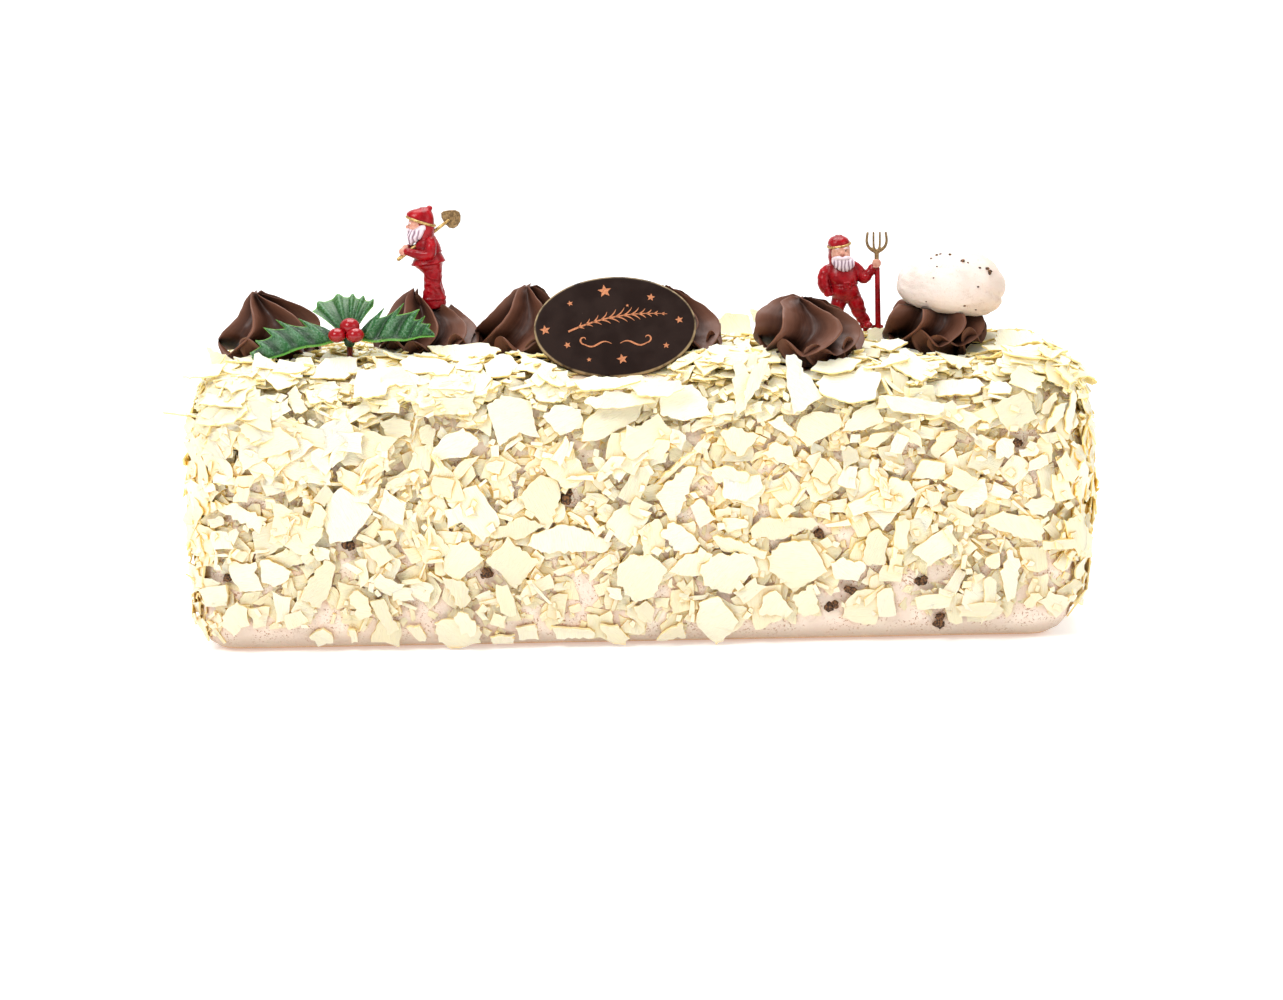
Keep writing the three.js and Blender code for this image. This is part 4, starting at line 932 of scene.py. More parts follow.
crumb_brown = Finish("dark_crumb", {"Roughness": 0.85})
char = crumb_brown.cloud(0.8, 3)
crumb_brown.colour(char.ramp(0.4, 0.65), (44, 30, 20), (128, 86, 50))
crumb_brown.feed("Normal", crumb_brown.bump(char, 0.4, 0.8))
dark_lumps = []
for k, (x, z) in enumerate(DARK_CRUMBS):
    foot, normal, _, _ = loaf_tree.find_nearest((x, -HALF_WIDTH - 3, z))
    for part in range(3):
        shift = Vector(draw.uniform(-1.4, 1.4, 3).tolist())
        at = foot + normal * max(1.2, pile.get(cell_of(foot), 0)) + shift
        dark_lumps.append(lump(at, draw.uniform(1.0, 1.9), 3 * k + part))
dark_lumps.append(lump((35, 12, 99), 2.4, 91, (1.4, 0.8, 0.8)))
enter(make_piece("dark_crumbs", *gather(dark_lumps), crumb_brown, 40))

# The rosettes: chocolate cream piped upright through a star nozzle of seven teeth with a turn of the
# hand. Every tooth leaves a fin that swings back near the foot and curls up there in a loop.
SEAT = 96.8
RISE_STEPS = 66
# Paths up a rosette, of a fin's lip and of a groove: share of the steps, turn, share of the height and radius
LIP_PATH = [
    (0.0, -0.9, 0.0, 0.82), (0.04, -1.06, 0.09, 0.93), (0.08, -1.18, 0.19, 0.99), (0.12, -1.15, 0.29, 1.02),
    (0.17, -1.0, 0.35, 1.04), (0.22, -0.82, 0.28, 1.06), (0.28, -0.64, 0.19, 1.06), (0.35, -0.44, 0.23, 1.06),
    (0.43, -0.18, 0.35, 1.06), (0.52, 0.06, 0.49, 1.04), (0.62, 0.2, 0.61, 0.97), (0.73, 0.21, 0.74, 0.79),
    (0.82, 0.07, 0.84, 0.56), (0.9, -0.16, 0.915, 0.34), (0.95, -0.42, 0.965, 0.2), (1.0, -0.75, 1.0, 0.13),
]
GROOVE_PATH = [
    (0.0, -0.5, 0.0, 0.54), (0.08, -0.52, 0.04, 0.56), (0.17, -0.48, 0.11, 0.57), (0.28, -0.34, 0.22, 0.57),
    (0.4, -0.08, 0.35, 0.56), (0.5, 0.12, 0.45, 0.53), (0.6, 0.24, 0.56, 0.46), (0.72, 0.26, 0.69, 0.34),
    (0.82, 0.14, 0.79, 0.23), (0.9, -0.05, 0.87, 0.13), (1.0, -0.7, 0.95, 0.04),
]
# Across half a fin, from the groove to the lip: share of the way round, and of the way out
FIN_SECTION = [
    (0.0, 0.0), (0.22, 0.02), (0.42, 0.09), (0.58, 0.21), (0.7, 0.38),
    (0.79, 0.59), (0.86, 0.79), (0.91, 0.93), (0.955, 0.99), (1.0, 1.0),
]
# The gnome with the shovel stands in a hollow of one rosette, and the shell presses another flat
HOLLOWED_ROSETTE = 2
PRESSED_ROSETTE = 6
GNOME_HOLLOW = {"place": (-72.6, -5), "radii": (6.2, 5.6), "floor": 116.1}
# Each rosette: its height, the lean of its tip, how much fuller it is above its middle, and at its right,
# how wide its tip is, how much it juts out at the upper left and at its foot, the seed of its unevenness,
# and where its lips stand at half height in degrees from +X
ROSETTE_KEYS = ("height", "lean", "dome", "shoulder", "flat_tip", "shelf", "foot", "seed", "lips")
ROSETTES = [
    (27.6, (-4.4, -2), -0.08, 0.3, 0.8, 0, 0, 3, (188, 247, 308, 352, 398, 448, 500)),
    (27.2, (-3.2, 2.5), -0.14, 0, 0.9, 0, 0, 5, (182, 230, 283, 320, 365, 412, 476)),
    (28, (2.2, 0), -0.15, 0, 1.2, 0, 0, 8, (183, 226, 292, 340, 385, 436, 488)),
    (27, (-3.5, 0), -0.1, 0.05, 1.2, 0, 0, 2, (188, 240, 290, 338, 380, 430, 490)),
    (24.4, (-2.6, -1), 0.08, 0, 1.6, 0.3, -0.1, 11, (178, 229, 296, 334, 372, 428, 486)),
    (25, (0, 0), 0.12, -0.16, 1.0, 0, -0.05, 6, (196, 236, 292, 330, 366, 420, 485)),
]
# How the fins of a rosette differ: lowest and highest value
FIN_RANGES = {
    "sweep": (0.85, 1.15), "wave": (0.02, 0.09), "phase": (0, 6), "curl": (0, 0.12), "full": (-0.04, 0.05),
    "tip": (-0.05, 0.02),
}
SHELL_PLACE = Matrix.Translation((112.3, -6, 121.3)) @ Matrix.Rotation(0.14, 4, "Y")
PRESSED_LEVEL = -8.1


def ease(low, high, value):
    """0 at low, 1 at high, smooth between; low may be the larger one."""
    share = min(max((value - low) / (high - low), 0), 1)
    return share * share * (3 - 2 * share)


def smooth_rows(rows, steps):
    """Rows of numbers along a smooth curve through the given rows."""
    rows = [np.array(row, dtype=float) for row in rows]
    rows = [2 * rows[0] - rows[1]] + rows + [2 * rows[-1] - rows[-2]]
    result = []
    for a, b, c, d in zip(rows, rows[1:], rows[2:], rows[3:]):
        for k in range(steps):
            t = k / steps
            square = 2 * b + (c - a) * t + (2 * a - 5 * b + 4 * c - d) * t ** 2
            result.append((square + (3 * b - a - 3 * c + d) * t ** 3) / 2)
    return result + [rows[-2]]


def along(path, level):
    """Turn, share of the height and share of the radius on a smooth path at a share of its steps."""
    return [float(np.interp(level, path[:, 0], path[:, column])) for column in (1, 2, 3)]


def fin_point(spec, fin, groove_angle, level, share, out):
    """A place between the groove at groove_angle (share 0, out 0) and a fin's lip (share 1, out 1)."""
    lip_turn, lip_rise, lip_reach = along(lip_path, level)
    groove_turn, groove_rise, groove_reach = along(groove_path, level)
    low = ease(0.5, 0.3, level)
    lip_angle = fin["angle"] + lip_turn * (1 + (fin["sweep"] - 1) * low)
    lip_angle += fin["wave"] * math.sin(level * 8 + fin["phase"]) * ease(0.95, 0.7, level)
    lip_rise += fin["curl"] * ease(0.3, 0.17, level) * ease(0, 0.1, level)
    lip_rise -= 0.035 * ease(0.95, 0.6, level) * ease(0.3, 0.5, level)
    lip_rise += fin["tip"] * ease(0.88, 1, level)
    lip_reach *= 1 + fin["full"] * ease(0.9, 0.6, level)
    groove = groove_angle + groove_turn
    angle = groove + (lip_angle - groove) * share
    reach = spec["radius"] * (groove_reach + (lip_reach - groove_reach) * out)
    upper = ease(0.45, 0.74, level) * ease(1, 0.84, level)
    reach *= 1 + (spec["dome"] + spec["shoulder"] * math.cos(angle)) * upper
    reach *= 1 + spec["shelf"] * max(-math.cos(angle), 0) * ease(0.6, 0.86, level) * ease(1, 0.9, level)
    reach *= 1 + spec["foot"] * ease(0.5, 0.28, level)
    height = spec["height"] * (groove_rise + (lip_rise - groove_rise) * out ** 1.7)
    upright = height / spec["height"]
    wide = 1 + (spec["flat_tip"] - 1) * ease(0.84, 0.97, level)
    x = spec["place"][0] + math.cos(angle) * reach * wide + spec["lean"][0] * upright ** 2
    y = spec["place"][1] + math.sin(angle) * reach + spec["lean"][1] * upright ** 2
    bumps = 0.22 * noise.noise(Vector((x, y, height)) * 0.35) * ease(0, 0.1, level)
    return [x + bumps * math.cos(angle), y + bumps * math.sin(angle), max(SEAT + height + bumps, SEAT - 0.4)]


lip_path = np.array(smooth_rows(LIP_PATH, 5))
groove_path = np.array(smooth_rows(GROOVE_PATH, 5))
chocolate = Finish("chocolate_cream", {
    "Specular IOR Level": 0.24,
    "Subsurface Weight": 0.06,
    "Subsurface Radius": (1.0, 0.5, 0.3),
    "Subsurface Scale": 0.001,
})
crest = chocolate.read("crest", "Fac")
streaks = chocolate.streaks("flow", (26, 4, 1), 3.0)
chocolate.colour(
    # Painted shade in the grooves and painted light towards the lips
    crest.ramp(0.0, 0.6), (62, 34, 23), (102, 65, 49),
    # Painted highlight on the lips
    (crest.ramp(0.72, 1.0) * 0.85, (136, 86, 58)),
    (streaks.ramp(0.4, 0.7) * 0.22, (116, 76, 60)),
    # Painted shade deep in the grooves
    (chocolate.shade(5, 0.3, 0.85, 4) * 0.92, (20, 7, 3)),
)
chocolate.feed("Roughness", 0.38 + 0.14 * chocolate.cloud(2.5).ramp(0.35, 0.65))
flowing = chocolate.bump(streaks, 0.1, 0.5)
chocolate.feed("Normal", chocolate.bump(chocolate.cloud(0.45, 2), 0.035, 0.6, flowing))
half_fin = [(share, min(max(out, 0), 1)) for share, out in smooth_rows(FIN_SECTION, 2)]
for number, (stand, row) in enumerate(zip(ROSETTE_FEET, ROSETTES), start=1):
    spec = dict(zip(ROSETTE_KEYS, row), place=stand[:2], radius=stand[2])
    shaky = np.random.default_rng(spec["seed"])
    fins = []
    for degrees in spec["lips"]:
        fins.append({key: shaky.uniform(*limits) for key, limits in FIN_RANGES.items()})
        fins[-1]["angle"] = math.radians(degrees)
    grooves = []
    for k, fin in enumerate(fins):
        behind = fins[k - 1]["angle"] - (2 * math.pi if k == 0 else 0)
        grooves.append((behind + fin["angle"]) / 2)
    grooves.append(grooves[0] + 2 * math.pi)
    points, crests, flows = [], [], []
    for rise in range(RISE_STEPS + 1):
        level = rise / RISE_STEPS
        for k, fin in enumerate(fins):
            ring = [(grooves[k], share, out) for share, out in half_fin]
            ring += [(grooves[k + 1], share, out) for share, out in reversed(half_fin[1:-1])]
            for step, (groove_angle, share, out) in enumerate(ring):
                points.append(fin_point(spec, fin, groove_angle, level, share, out))
                # Lighter towards the lips: painted light on the fins, painted shade in the grooves
                crests.append(max(0.62 * out, math.exp(-((step - len(half_fin) + 1) / 1.6) ** 2)))
                flows.append((k + step / len(ring), level, number))
    if number == HOLLOWED_ROSETTE:
        for point in points:
            offsets = [(point[i] - GNOME_HOLLOW["place"][i]) / GNOME_HOLLOW["radii"][i] for i in (0, 1)]
            away = math.hypot(*offsets)
            point[2] = min(point[2], GNOME_HOLLOW["floor"] + 14 * ease(1.0, 1.5, away) + max(away - 1, 0) * 9)
    if number == PRESSED_ROSETTE:
        inverse = SHELL_PLACE.inverted()
        for k, point in enumerate(points):
            under = inverse @ Vector(point)
            over = under.z - PRESSED_LEVEL
            if over > 0:
                under.z = PRESSED_LEVEL - 0.02 * over
                points[k] = list(SHELL_PLACE @ under)
    ring_size = len(fins) * 2 * (len(half_fin) - 1)
    faces = closed_net(RISE_STEPS + 1, ring_size)[:-2]
    for rise, flip in ((0, True), (RISE_STEPS, False)):
        centre = np.mean(points[rise * ring_size:(rise + 1) * ring_size], axis=0)
        points.append(list(centre))
        crests.append(0.5)
        flows.append((0, 1, number))
        hub = len(points) - 1
        for k in range(ring_size):
            a, b = rise * ring_size + k, rise * ring_size + (k + 1) % ring_size
            faces.append((b, a, hub) if flip else (a, b, hub))
    rosette = make_piece(f"piped_rosette_{number}", points, faces, chocolate, 85, crest=crests, flow=flows)
    enter(rosette, f"rosette_{number}")

# The meringue shell: a puffed oval of whipped egg white, baked dry, flat underneath, and pressed on the
# last rosette. Crumbs of dark chocolate stick to its top.
SHELL_RADII = (20.0, 15.4, 12.8)
SHELL_AROUND = 120
SHELL_DOWN = 76
SHELL_FLATNESS = 0.9


def shell_at(azimuth, polar):
    """A place on the shell in its own frame."""
    x, y, z = math.cos(azimuth) * math.sin(polar), math.sin(azimuth) * math.sin(polar), math.cos(polar)
    spot = Vector((x, y, z))
    puff = 1 + 0.05 * math.sin(3 * x + 1) * math.cos(2.5 * y) + 0.04 * x * z
    puff += 0.035 * noise.noise(spot * 2.2) + 0.014 * noise.noise(spot * 7) + 0.007 * noise.noise(spot * 19)
    crease = z - 0.62 + 0.75 * x - 0.15 * y
    puff -= 0.035 * math.exp(-(crease / 0.09) ** 2) * ease(-0.35, 0.3, x)
    full = math.sin(polar) ** (0.9 if z > 0 else 0.6) / max(math.sin(polar), 0.001)
    full = 1 + (full - 1) * ease(0, 0.25, abs(z))
    low = z if z > 0 else -SHELL_FLATNESS * math.tanh(-z / SHELL_FLATNESS)
    return [x * full * puff * SHELL_RADII[0], y * full * puff * SHELL_RADII[1], low * puff * SHELL_RADII[2]]


shell_points = []
for down in range(1, SHELL_DOWN):
    for around in range(SHELL_AROUND):
        azimuth, polar = around / SHELL_AROUND * 2 * math.pi, down / SHELL_DOWN * math.pi
        shell_points.append(tuple(SHELL_PLACE @ Vector(shell_at(azimuth, polar))))
shell_faces = closed_net(SHELL_DOWN - 1, SHELL_AROUND, True)
baked = Finish("baked_meringue", {
    "Roughness": 0.85,
    "Specular IOR Level": 0.3,
    "Subsurface Weight": 0.1,
    "Subsurface Scale": 0.002,
})
along_log, height = [baked.place().axis(name) for name in "XZ"]
pores = baked.cloud(0.55, 3, 0.6)
veins = baked.cloud(4.5, 4, 0.6)
cracks = veins.ramp(0.487, 0.497) * (1 - veins.ramp(0.503, 0.513))
cracks = cracks * along_log.ramp(0.11, 0.118) * (1 - height.ramp(0.119, 0.125))
baked.colour(
    baked.cloud(9, 3).ramp(0.35, 0.7), (228, 214, 205), (222, 204, 193),
    (along_log.ramp(0.112, 0.132) * 0.7, (214, 194, 178)),
    # Painted shade on the lower part
    ((1 - height.ramp(0.112, 0.121)) * 0.6, (222, 196, 172)),
    # Painted shade in the pores
    ((1 - pores.ramp(0.3, 0.42)) * 0.5, (206, 176, 156)),
    (baked.cloud(0.9, 2).ramp(0.66, 0.74) * baked.cloud(6, 2).ramp(0.45, 0.6) * 0.6, (190, 140, 100)),
    # Painted shade in the cracks
    (cracks * 0.25, (170, 124, 92)),
)
crackled = baked.bump(cracks, -0.12, 0.6, baked.bump(baked.cloud(3.5, 3), 0.5, 0.4))
baked.feed("Normal", baked.bump(pores, 0.22, 0.8, crackled))
shell = make_piece("meringue_shell_baked", shell_points, shell_faces, baked, 80)
enter(shell, "meringue_shell")
# Crumbs on it: how far across and up from its middle, seen from the front and a little above, and size
SHELL_CRUMBS = [
    (-7.9, 9.2, 0.45), (-5.8, 10.4, 0.6), (-4.6, 10.7, 0.5), (-1.3, 10.4, 0.55),
    (2.9, 7.9, 0.85), (4.7, 7.2, 0.4), (8.9, 5.4, 0.5), (11.6, 5.1, 0.8),
    (12.6, 4.0, 0.9), (12.4, 3.2, 0.6), (-6.4, 6, 0.35), (-7.9, 1.8, 0.35),
    (8, -1.5, 0.45), (-10.3, -6.3, 0.3), (3.2, -8.1, 0.45), (7.4, -9.4, 0.4),
]
# The same on the far side
BACK_CRUMBS = [(-9, 7, 0.6), (-3, 8.5, 0.5), (4, 8, 0.7), (9, 4, 0.5), (-5, 2, 0.4), (12, 3, 0.5)]
shell_tree = BVHTree.FromPolygons(shell_points, shell_faces)
specks = []
for crumb_list, side in ((SHELL_CRUMBS, -1), (BACK_CRUMBS, 1)):
    into = Vector((0, -side * math.cos(VIEW_DOWN), -math.sin(VIEW_DOWN)))
    over = Vector((0, -side * math.sin(VIEW_DOWN), math.cos(VIEW_DOWN)))
    for across, lift, size in crumb_list:
        start = SHELL_PLACE.translation + Vector((across, 0, 0)) + over * lift - into * 60
        spot, _, _, _ = shell_tree.ray_cast(start, into)
        if spot:
            specks.append(lump(spot, size, 30 + len(specks), (1, 1, 0.7)))
enter(make_piece("meringue_shell_crumbs", *gather(specks), crumb_brown, 40))

# The plaque: an oval cast from dark chocolate, printed in copper with stars and a fir sprig, and leaned
# back on the third and fourth rosettes.
PLAQUE_AROUND = 160
# From the face round the edge to the back: how far in, and how far out of the face
PLAQUE_RIM = [
    (3, 0), (1.4, 0), (0.8, 0.02), (0.35, -0.08), (0.08, -0.28),
    (0, -0.55), (0, -1.9), (0.12, -2.2), (0.5, -2.38), (3, -PLAQUE_THICK),
]


def on_plaque(across, up, out=0.0):
    """A place on the plaque: across and up from the middle of its face, and out of it."""
    return tuple(PLAQUE_PLACE @ Vector((across, up + PLAQUE_HEIGHT / 2, out)))


plaque_points, plaque_rim_highlight = [], []
for inset, depth in PLAQUE_RIM:
    for k in range(PLAQUE_AROUND):
        angle = k / PLAQUE_AROUND * 2 * math.pi
        reach = (PLAQUE_LENGTH / 2 - inset, PLAQUE_HEIGHT / 2 - inset)
        plaque_points.append(on_plaque(math.cos(angle) * reach[0], math.sin(angle) * reach[1], depth))
        # 1 on the rim of the face, where a highlight is painted
        plaque_rim_highlight.append(1.0 if inset < 0.6 and depth > -1 else 0.0)
cast_chocolate = Finish("cast_dark_chocolate", {"Specular IOR Level": 0.11})
bloom = cast_chocolate.cloud(9, 4)
cast_chocolate.colour(
    bloom.ramp(0.35, 0.7), (26, 12, 7), (34, 19, 13),
    (cast_chocolate.cloud(0.8, 2, 0.7).ramp(0.7, 0.76) * bloom.ramp(0.5, 0.6) * 0.3, (104, 88, 80)),
    # Painted highlight along the rim of the face
    (cast_chocolate.read("rim", "Fac") * cast_chocolate.cloud(5).ramp(0.3, 0.6) * 0.8, (176, 152, 116)),
)
cast_chocolate.feed("Roughness", 0.4 + 0.2 * bloom.ramp(0.4, 0.7))
cast_chocolate.grain(0.6, 2, 0.02, 0.5)
plaque_faces = closed_net(len(PLAQUE_RIM), PLAQUE_AROUND, True)
plaque = make_piece("chocolate_plaque", plaque_points, plaque_faces, cast_chocolate, 50, rim=plaque_rim_highlight)
enter(plaque, "plaque")

PRINT_HEIGHT = 0.07
# Stars of the print: across and up from the middle, radius and turn
STARS = [
    (-3.2, 13.6, 2.5, 0.1), (-15.5, 9.3, 1.1, 0.3), (13.0, 10.6, 1.5, -0.2), (22.6, 1.6, 1.5, 0.2),
    (17.6, -8.0, 1.2, -0.1), (2.0, -12.6, 2.0, 0.2), (-9.6, -12.4, 0.9, 0.0), (-17.0, -6.6, 1.3, 0.4),
    (-24.6, -0.6, 1.9, 0.15), (4.6, 7.8, 0.6, 0.0),
]


def flat_print(outline):
    """A raised patch of print with the given outline on the plaque's face."""
    count = len(outline)
    points = [on_plaque(x, y, 0.01) for x, y in outline] + [on_plaque(x, y, PRINT_HEIGHT) for x, y in outline]
    faces = [tuple(range(count, 2 * count)), tuple(reversed(range(count)))]
    faces += [(k, (k + 1) % count, count + (k + 1) % count, count + k) for k in range(count)]
    return points, faces


def stroke(path, widths):
    """A raised pen stroke along a path, as wide as given at each point of it."""
    path = np.array(path, dtype=float)
    ahead = np.gradient(path, axis=0)
    ahead /= np.linalg.norm(ahead, axis=1)[:, None]
    aside = np.stack([-ahead[:, 1], ahead[:, 0]], axis=1) * np.array(widths)[:, None] / 2
    one, other = path - aside, path + aside
    return gather([flat_print([one[k], one[k + 1], other[k + 1], other[k]]) for k in range(len(path) - 1)])


def bend_path(start, end, bow, steps=14):
    """A path from start to end that bows to one side."""
    start, end = np.array(start), np.array(end)
    aside = np.array([start[1] - end[1], end[0] - start[0]])
    shares = np.linspace(0, 1, steps)[:, None]
    return start + (end - start) * shares + aside * bow * 4 * shares * (1 - shares)


prints = []
for x, y, radius, turned in STARS:
    tips = []
    for k in range(10):
        reach = radius if k % 2 == 0 else radius * 0.45
        angle = math.pi / 2 + turned + k * math.pi / 5
        tips.append((x + reach * math.cos(angle), y + reach * math.sin(angle)))
    prints.append(flat_print(tips))
twig = bend_path((-16.5, -1.5), (18.5, 4.0), 0.07, 40)
prints.append(stroke(twig, np.interp(np.linspace(0, 1, 40), [0, 0.5, 1], [0.7, 0.5, 0.2])))
for k in range(4, 38, 3):
    share = k / 39
    length = 4.8 * math.sin(math.pi * (0.16 + 0.78 * share)) * (0.85 + 0.15 * math.cos(k * 2.3))
    ahead = twig[k] - twig[k - 1]
    heading = math.atan2(ahead[1], ahead[0])
    for side in (-1, 1):
        angle = heading + side * 0.62
        tip = twig[k] + length * np.array([math.cos(angle), math.sin(angle)])
        needle = bend_path(twig[k], tip, -0.1 * side, 6)
        prints.append(stroke(needle, [0.3, 0.42, 0.46, 0.4, 0.28, 0.1]))
for side in (-1, 1):
    sweep_path = []
    for t in np.linspace(0, 1, 24):
        sweep_path.append((side * (1.5 + 9.5 * t), -6.6 + 0.9 * math.sin(t * math.pi * 2)))
    curl_path = []
    for t in np.linspace(0, 1, 26):
        radius, angle = 1.8 * (1 - 0.75 * t), -math.pi / 2 + 4.4 * t
        curl_path.append((side * (11 + radius * math.cos(angle)), -4.8 + radius * math.sin(angle)))
    prints.append(stroke(sweep_path, np.interp(np.linspace(0, 1, 24), [0, 0.5, 1], [0.15, 0.7, 0.4])))
    prints.append(stroke(curl_path, np.interp(np.linspace(0, 1, 26), [0, 0.3, 1], [0.4, 0.6, 0.2])))
copper = Finish("copper_print", {"Metallic": 0.25, "Roughness": 0.5})
copper.colour(copper.cloud(0.35, 3).ramp(0.35, 0.65), (160, 94, 58), (196, 128, 84))
copper.grain(0.3, 2, 0.02, 0.5)
enter(make_piece("plaque_print", *gather(prints), copper))

# The holly: three leaves moulded in soft green plastic, folded along the midrib, ribbed to their spines
# and frosted, on a hub that the berries' spike goes through.
HOLLY_PLACE = Vector((-101.6, -27, 108.4))
# Each leaf: base and tip, sag of its midrib, width of its far and near half, how steeply the far half
# stands, and where its spines are
LEAVES = [
    {"base": (-1.0, 0, -0.4), "tip": (-35.6, -8.5, -8.4), "sag": 1.6, "far": 12.2, "near": 2.4, "steep": 0.95,
     "spines": (0.2, 0.4, 0.56, 0.73, 0.87, 1.0)},
    {"base": (1.0, 0, -0.2), "tip": (30.2, -7.0, 1.9), "sag": -1.0, "far": 12.6, "near": 2.2, "steep": 1.02,
     "spines": (0.16, 0.36, 0.6, 0.73, 0.87, 1.0)},
]
NEAR_FOLD = Vector((0.0, -0.985, 0.172))
LEAF_ALONG = 150
LEAF_ACROSS = 14
LEAF_THICK = 0.45


def past_spine(along, spines):
    """The share of the way from one spine to the next at a place along a leaf."""
    start = 0.0
    for end in spines:
        if along <= end:
            return (along - start) / (end - start)
        start = end
    return 1.0


def leaf_mesh(spec):
    """Both faces of a folded leaf; each point has how near it is to the rim or midrib, and to a ridge, for
    painted light.
    """
    base, tip = Vector(spec["base"]), Vector(spec["tip"])
    ahead = (tip - base).normalized()
    hand = math.copysign(1, ahead.x)
    far = Vector((0, math.cos(spec["steep"]), math.sin(spec["steep"])))
    far = (far - ahead * far.dot(ahead)).normalized()
    near = (NEAR_FOLD - ahead * NEAR_FOLD.dot(ahead)).normalized()
    far_out, near_out = ahead.cross(far) * hand, near.cross(ahead) * hand
    points, looks = [], []
    for face_drop in (0, -LEAF_THICK):
        for i in range(LEAF_ALONG + 1):
            along = i / LEAF_ALONG
            share = past_spine(along, spec["spines"])
            belly = max(math.sin(math.pi * (0.13 + 0.87 * along) ** 0.85), 0)
            reach = belly * (0.72 + 0.36 * share ** 2.4) * ease(0, 0.08, along) + 0.02
            middle = HOLLY_PLACE + base + (tip - base) * along
            middle.z += spec["sag"] * math.sin(math.pi * along) + 0.25 * math.sin(along * 17)
            for j in range(-LEAF_ACROSS, LEAF_ACROSS + 1):
                off = abs(j) / LEAF_ACROSS
                side, out = (far, far_out) if j > 0 else (near, near_out)
                if j == 0:
                    out = (far_out + near_out).normalized()
                wide = spec["far" if j > 0 else "near"] * reach * off
                ridge = 0.5 + 0.5 * math.cos(2 * math.pi * (share - 0.12 * (1 - off)))
                ridge = 0.75 * ridge + 0.25 * (0.5 + 0.5 * math.cos(4 * math.pi * share + 1.2))
                rib = 1.1 * (ridge - 0.5) * ease(0.03, 0.3, off)
                rib = rib * ease(1.1, 0.8, off) * ease(0.0, 0.12, along)
                bow = 0.9 * math.sin(math.pi * off * 0.9)
                lead = 6.5 * off ** 1.3 * reach if j > 0 else 0
                spot = middle + ahead * lead + side * wide + out * ((rib + bow if j > 0 else 0) + face_drop)
                points.append(tuple(spot))
                lime = max(ease(0.9, 1.0, off), math.exp(-(off / 0.05) ** 2), 0.9 if j < 0 else 0)
                # How light green a place is, and how near a ridge, for painted light on the ridges
                looks.append((lime, ridge * ease(0, 0.15, off), 0))
    faces = sheet_net(LEAF_ALONG, 2 * LEAF_ACROSS)
    return points, faces if hand > 0 else [face[::-1] for face in faces], looks


# The third leaf points up and back, and shows as a ribbed fan above the berries
FAN_LOBES = 6
FAN_REACH = 18.6
FAN_MIDDLE = -0.15
FAN_SPREAD = 0.69
FAN_RISE = 1.02
FAN_ALONG = 30
FAN_ACROSS = 128


def fan_mesh():
    """Both faces of the fan leaf."""
    place = Matrix.Translation(HOLLY_PLACE + Vector((0, 0.6, -0.8))) @ Matrix.Rotation(FAN_RISE, 4, "X")
    points, looks = [], []
    for face_drop in (0, -LEAF_THICK):
        for i in range(FAN_ACROSS + 1):
            share = i / FAN_ACROSS
            lobe = (share + 0.05 * math.sin(7 * share + 1)) * (FAN_LOBES - 1)
            lobed = 0.5 + 0.5 * math.cos(2 * math.pi * lobe)
            spread = FAN_MIDDLE + (2 * share - 1) * FAN_SPREAD
            reach = FAN_REACH + 1.5 * (lobed ** 2 - 0.6) + 0.7 * math.sin(share * 5)
            reach -= 1.5 * ease(0.93, 1, share)
            for j in range(FAN_ALONG + 1):
                off = j / FAN_ALONG
                out = 1.0 + (reach - 1.0) * off
                ridge = 0.62 * lobed + 0.38 * (0.5 + 0.5 * math.cos(4 * math.pi * lobe + 1))
                rib = 0.9 * (ridge - 0.5) * ease(0.1, 0.5, off) * ease(1.08, 0.9, off)
                cup = 1.6 * (2 * share - 1) ** 2 * off + 1.2 * math.sin(math.pi * off) - 1.8 * off ** 3
                spot = Vector((math.sin(spread) * out, math.cos(spread) * out, cup + rib + face_drop))
                points.append(tuple(place @ spot))
                rim = max(ease(0.93, 1.0, off), ease(0.03, 0.0, share), ease(0.97, 1.0, share))
                # How light green a place is, and how near a ridge, for painted light on the ridges
                looks.append((max(rim * 0.8, 0.3 * ease(0.2, 0.9, off)), 0.25 + 0.6 * ridge, 0))
    return points, sheet_net(FAN_ACROSS, FAN_ALONG), looks


def tube(path, radii, sides=20, closed_ends=True):
    """A round rod along a path of points, as thick as given at each, with rounded ends."""
    path = [Vector(point) for point in path]
    stations = []
    for k, (spot, radius) in enumerate(zip(path, radii)):
        ahead = (path[min(k + 1, len(path) - 1)] - path[max(k - 1, 0)]).normalized()
        stations.append((spot, ahead, radius))
    if closed_ends:
        for end, sign in ((0, -1), (-1, 1)):
            spot, ahead, radius = stations[end]
            caps = []
            for a in (0.5, 1.0, 1.35):
                caps.append((spot + ahead * sign * radius * math.sin(a), ahead, radius * math.cos(a)))
            stations = caps[::-1] + stations if end == 0 else stations + caps
    first = stations[0][1].orthogonal().normalized()
    points = []
    for spot, ahead, radius in stations:
        first = (first - ahead * first.dot(ahead)).normalized()
        second = ahead.cross(first)
        for k in range(sides):
            angle = k / sides * 2 * math.pi
            points.append(tuple(spot + (first * math.cos(angle) + second * math.sin(angle)) * radius))
    return points, closed_net(len(stations), sides)


def ball(centre, radii, around=28, down=18):
    """A smooth oval ball."""
    points = []
    for i in range(down + 1):
        polar = math.pi * (0.01 + 0.98 * i / down)
        for k in range(around):
            angle = k / around * 2 * math.pi
            unit = (math.sin(polar) * math.cos(angle), math.sin(polar) * math.sin(angle), math.cos(polar))
            points.append(tuple(centre[axis] + unit[axis] * radii[axis] for axis in range(3)))
    return points, closed_net(down + 1, around, True)


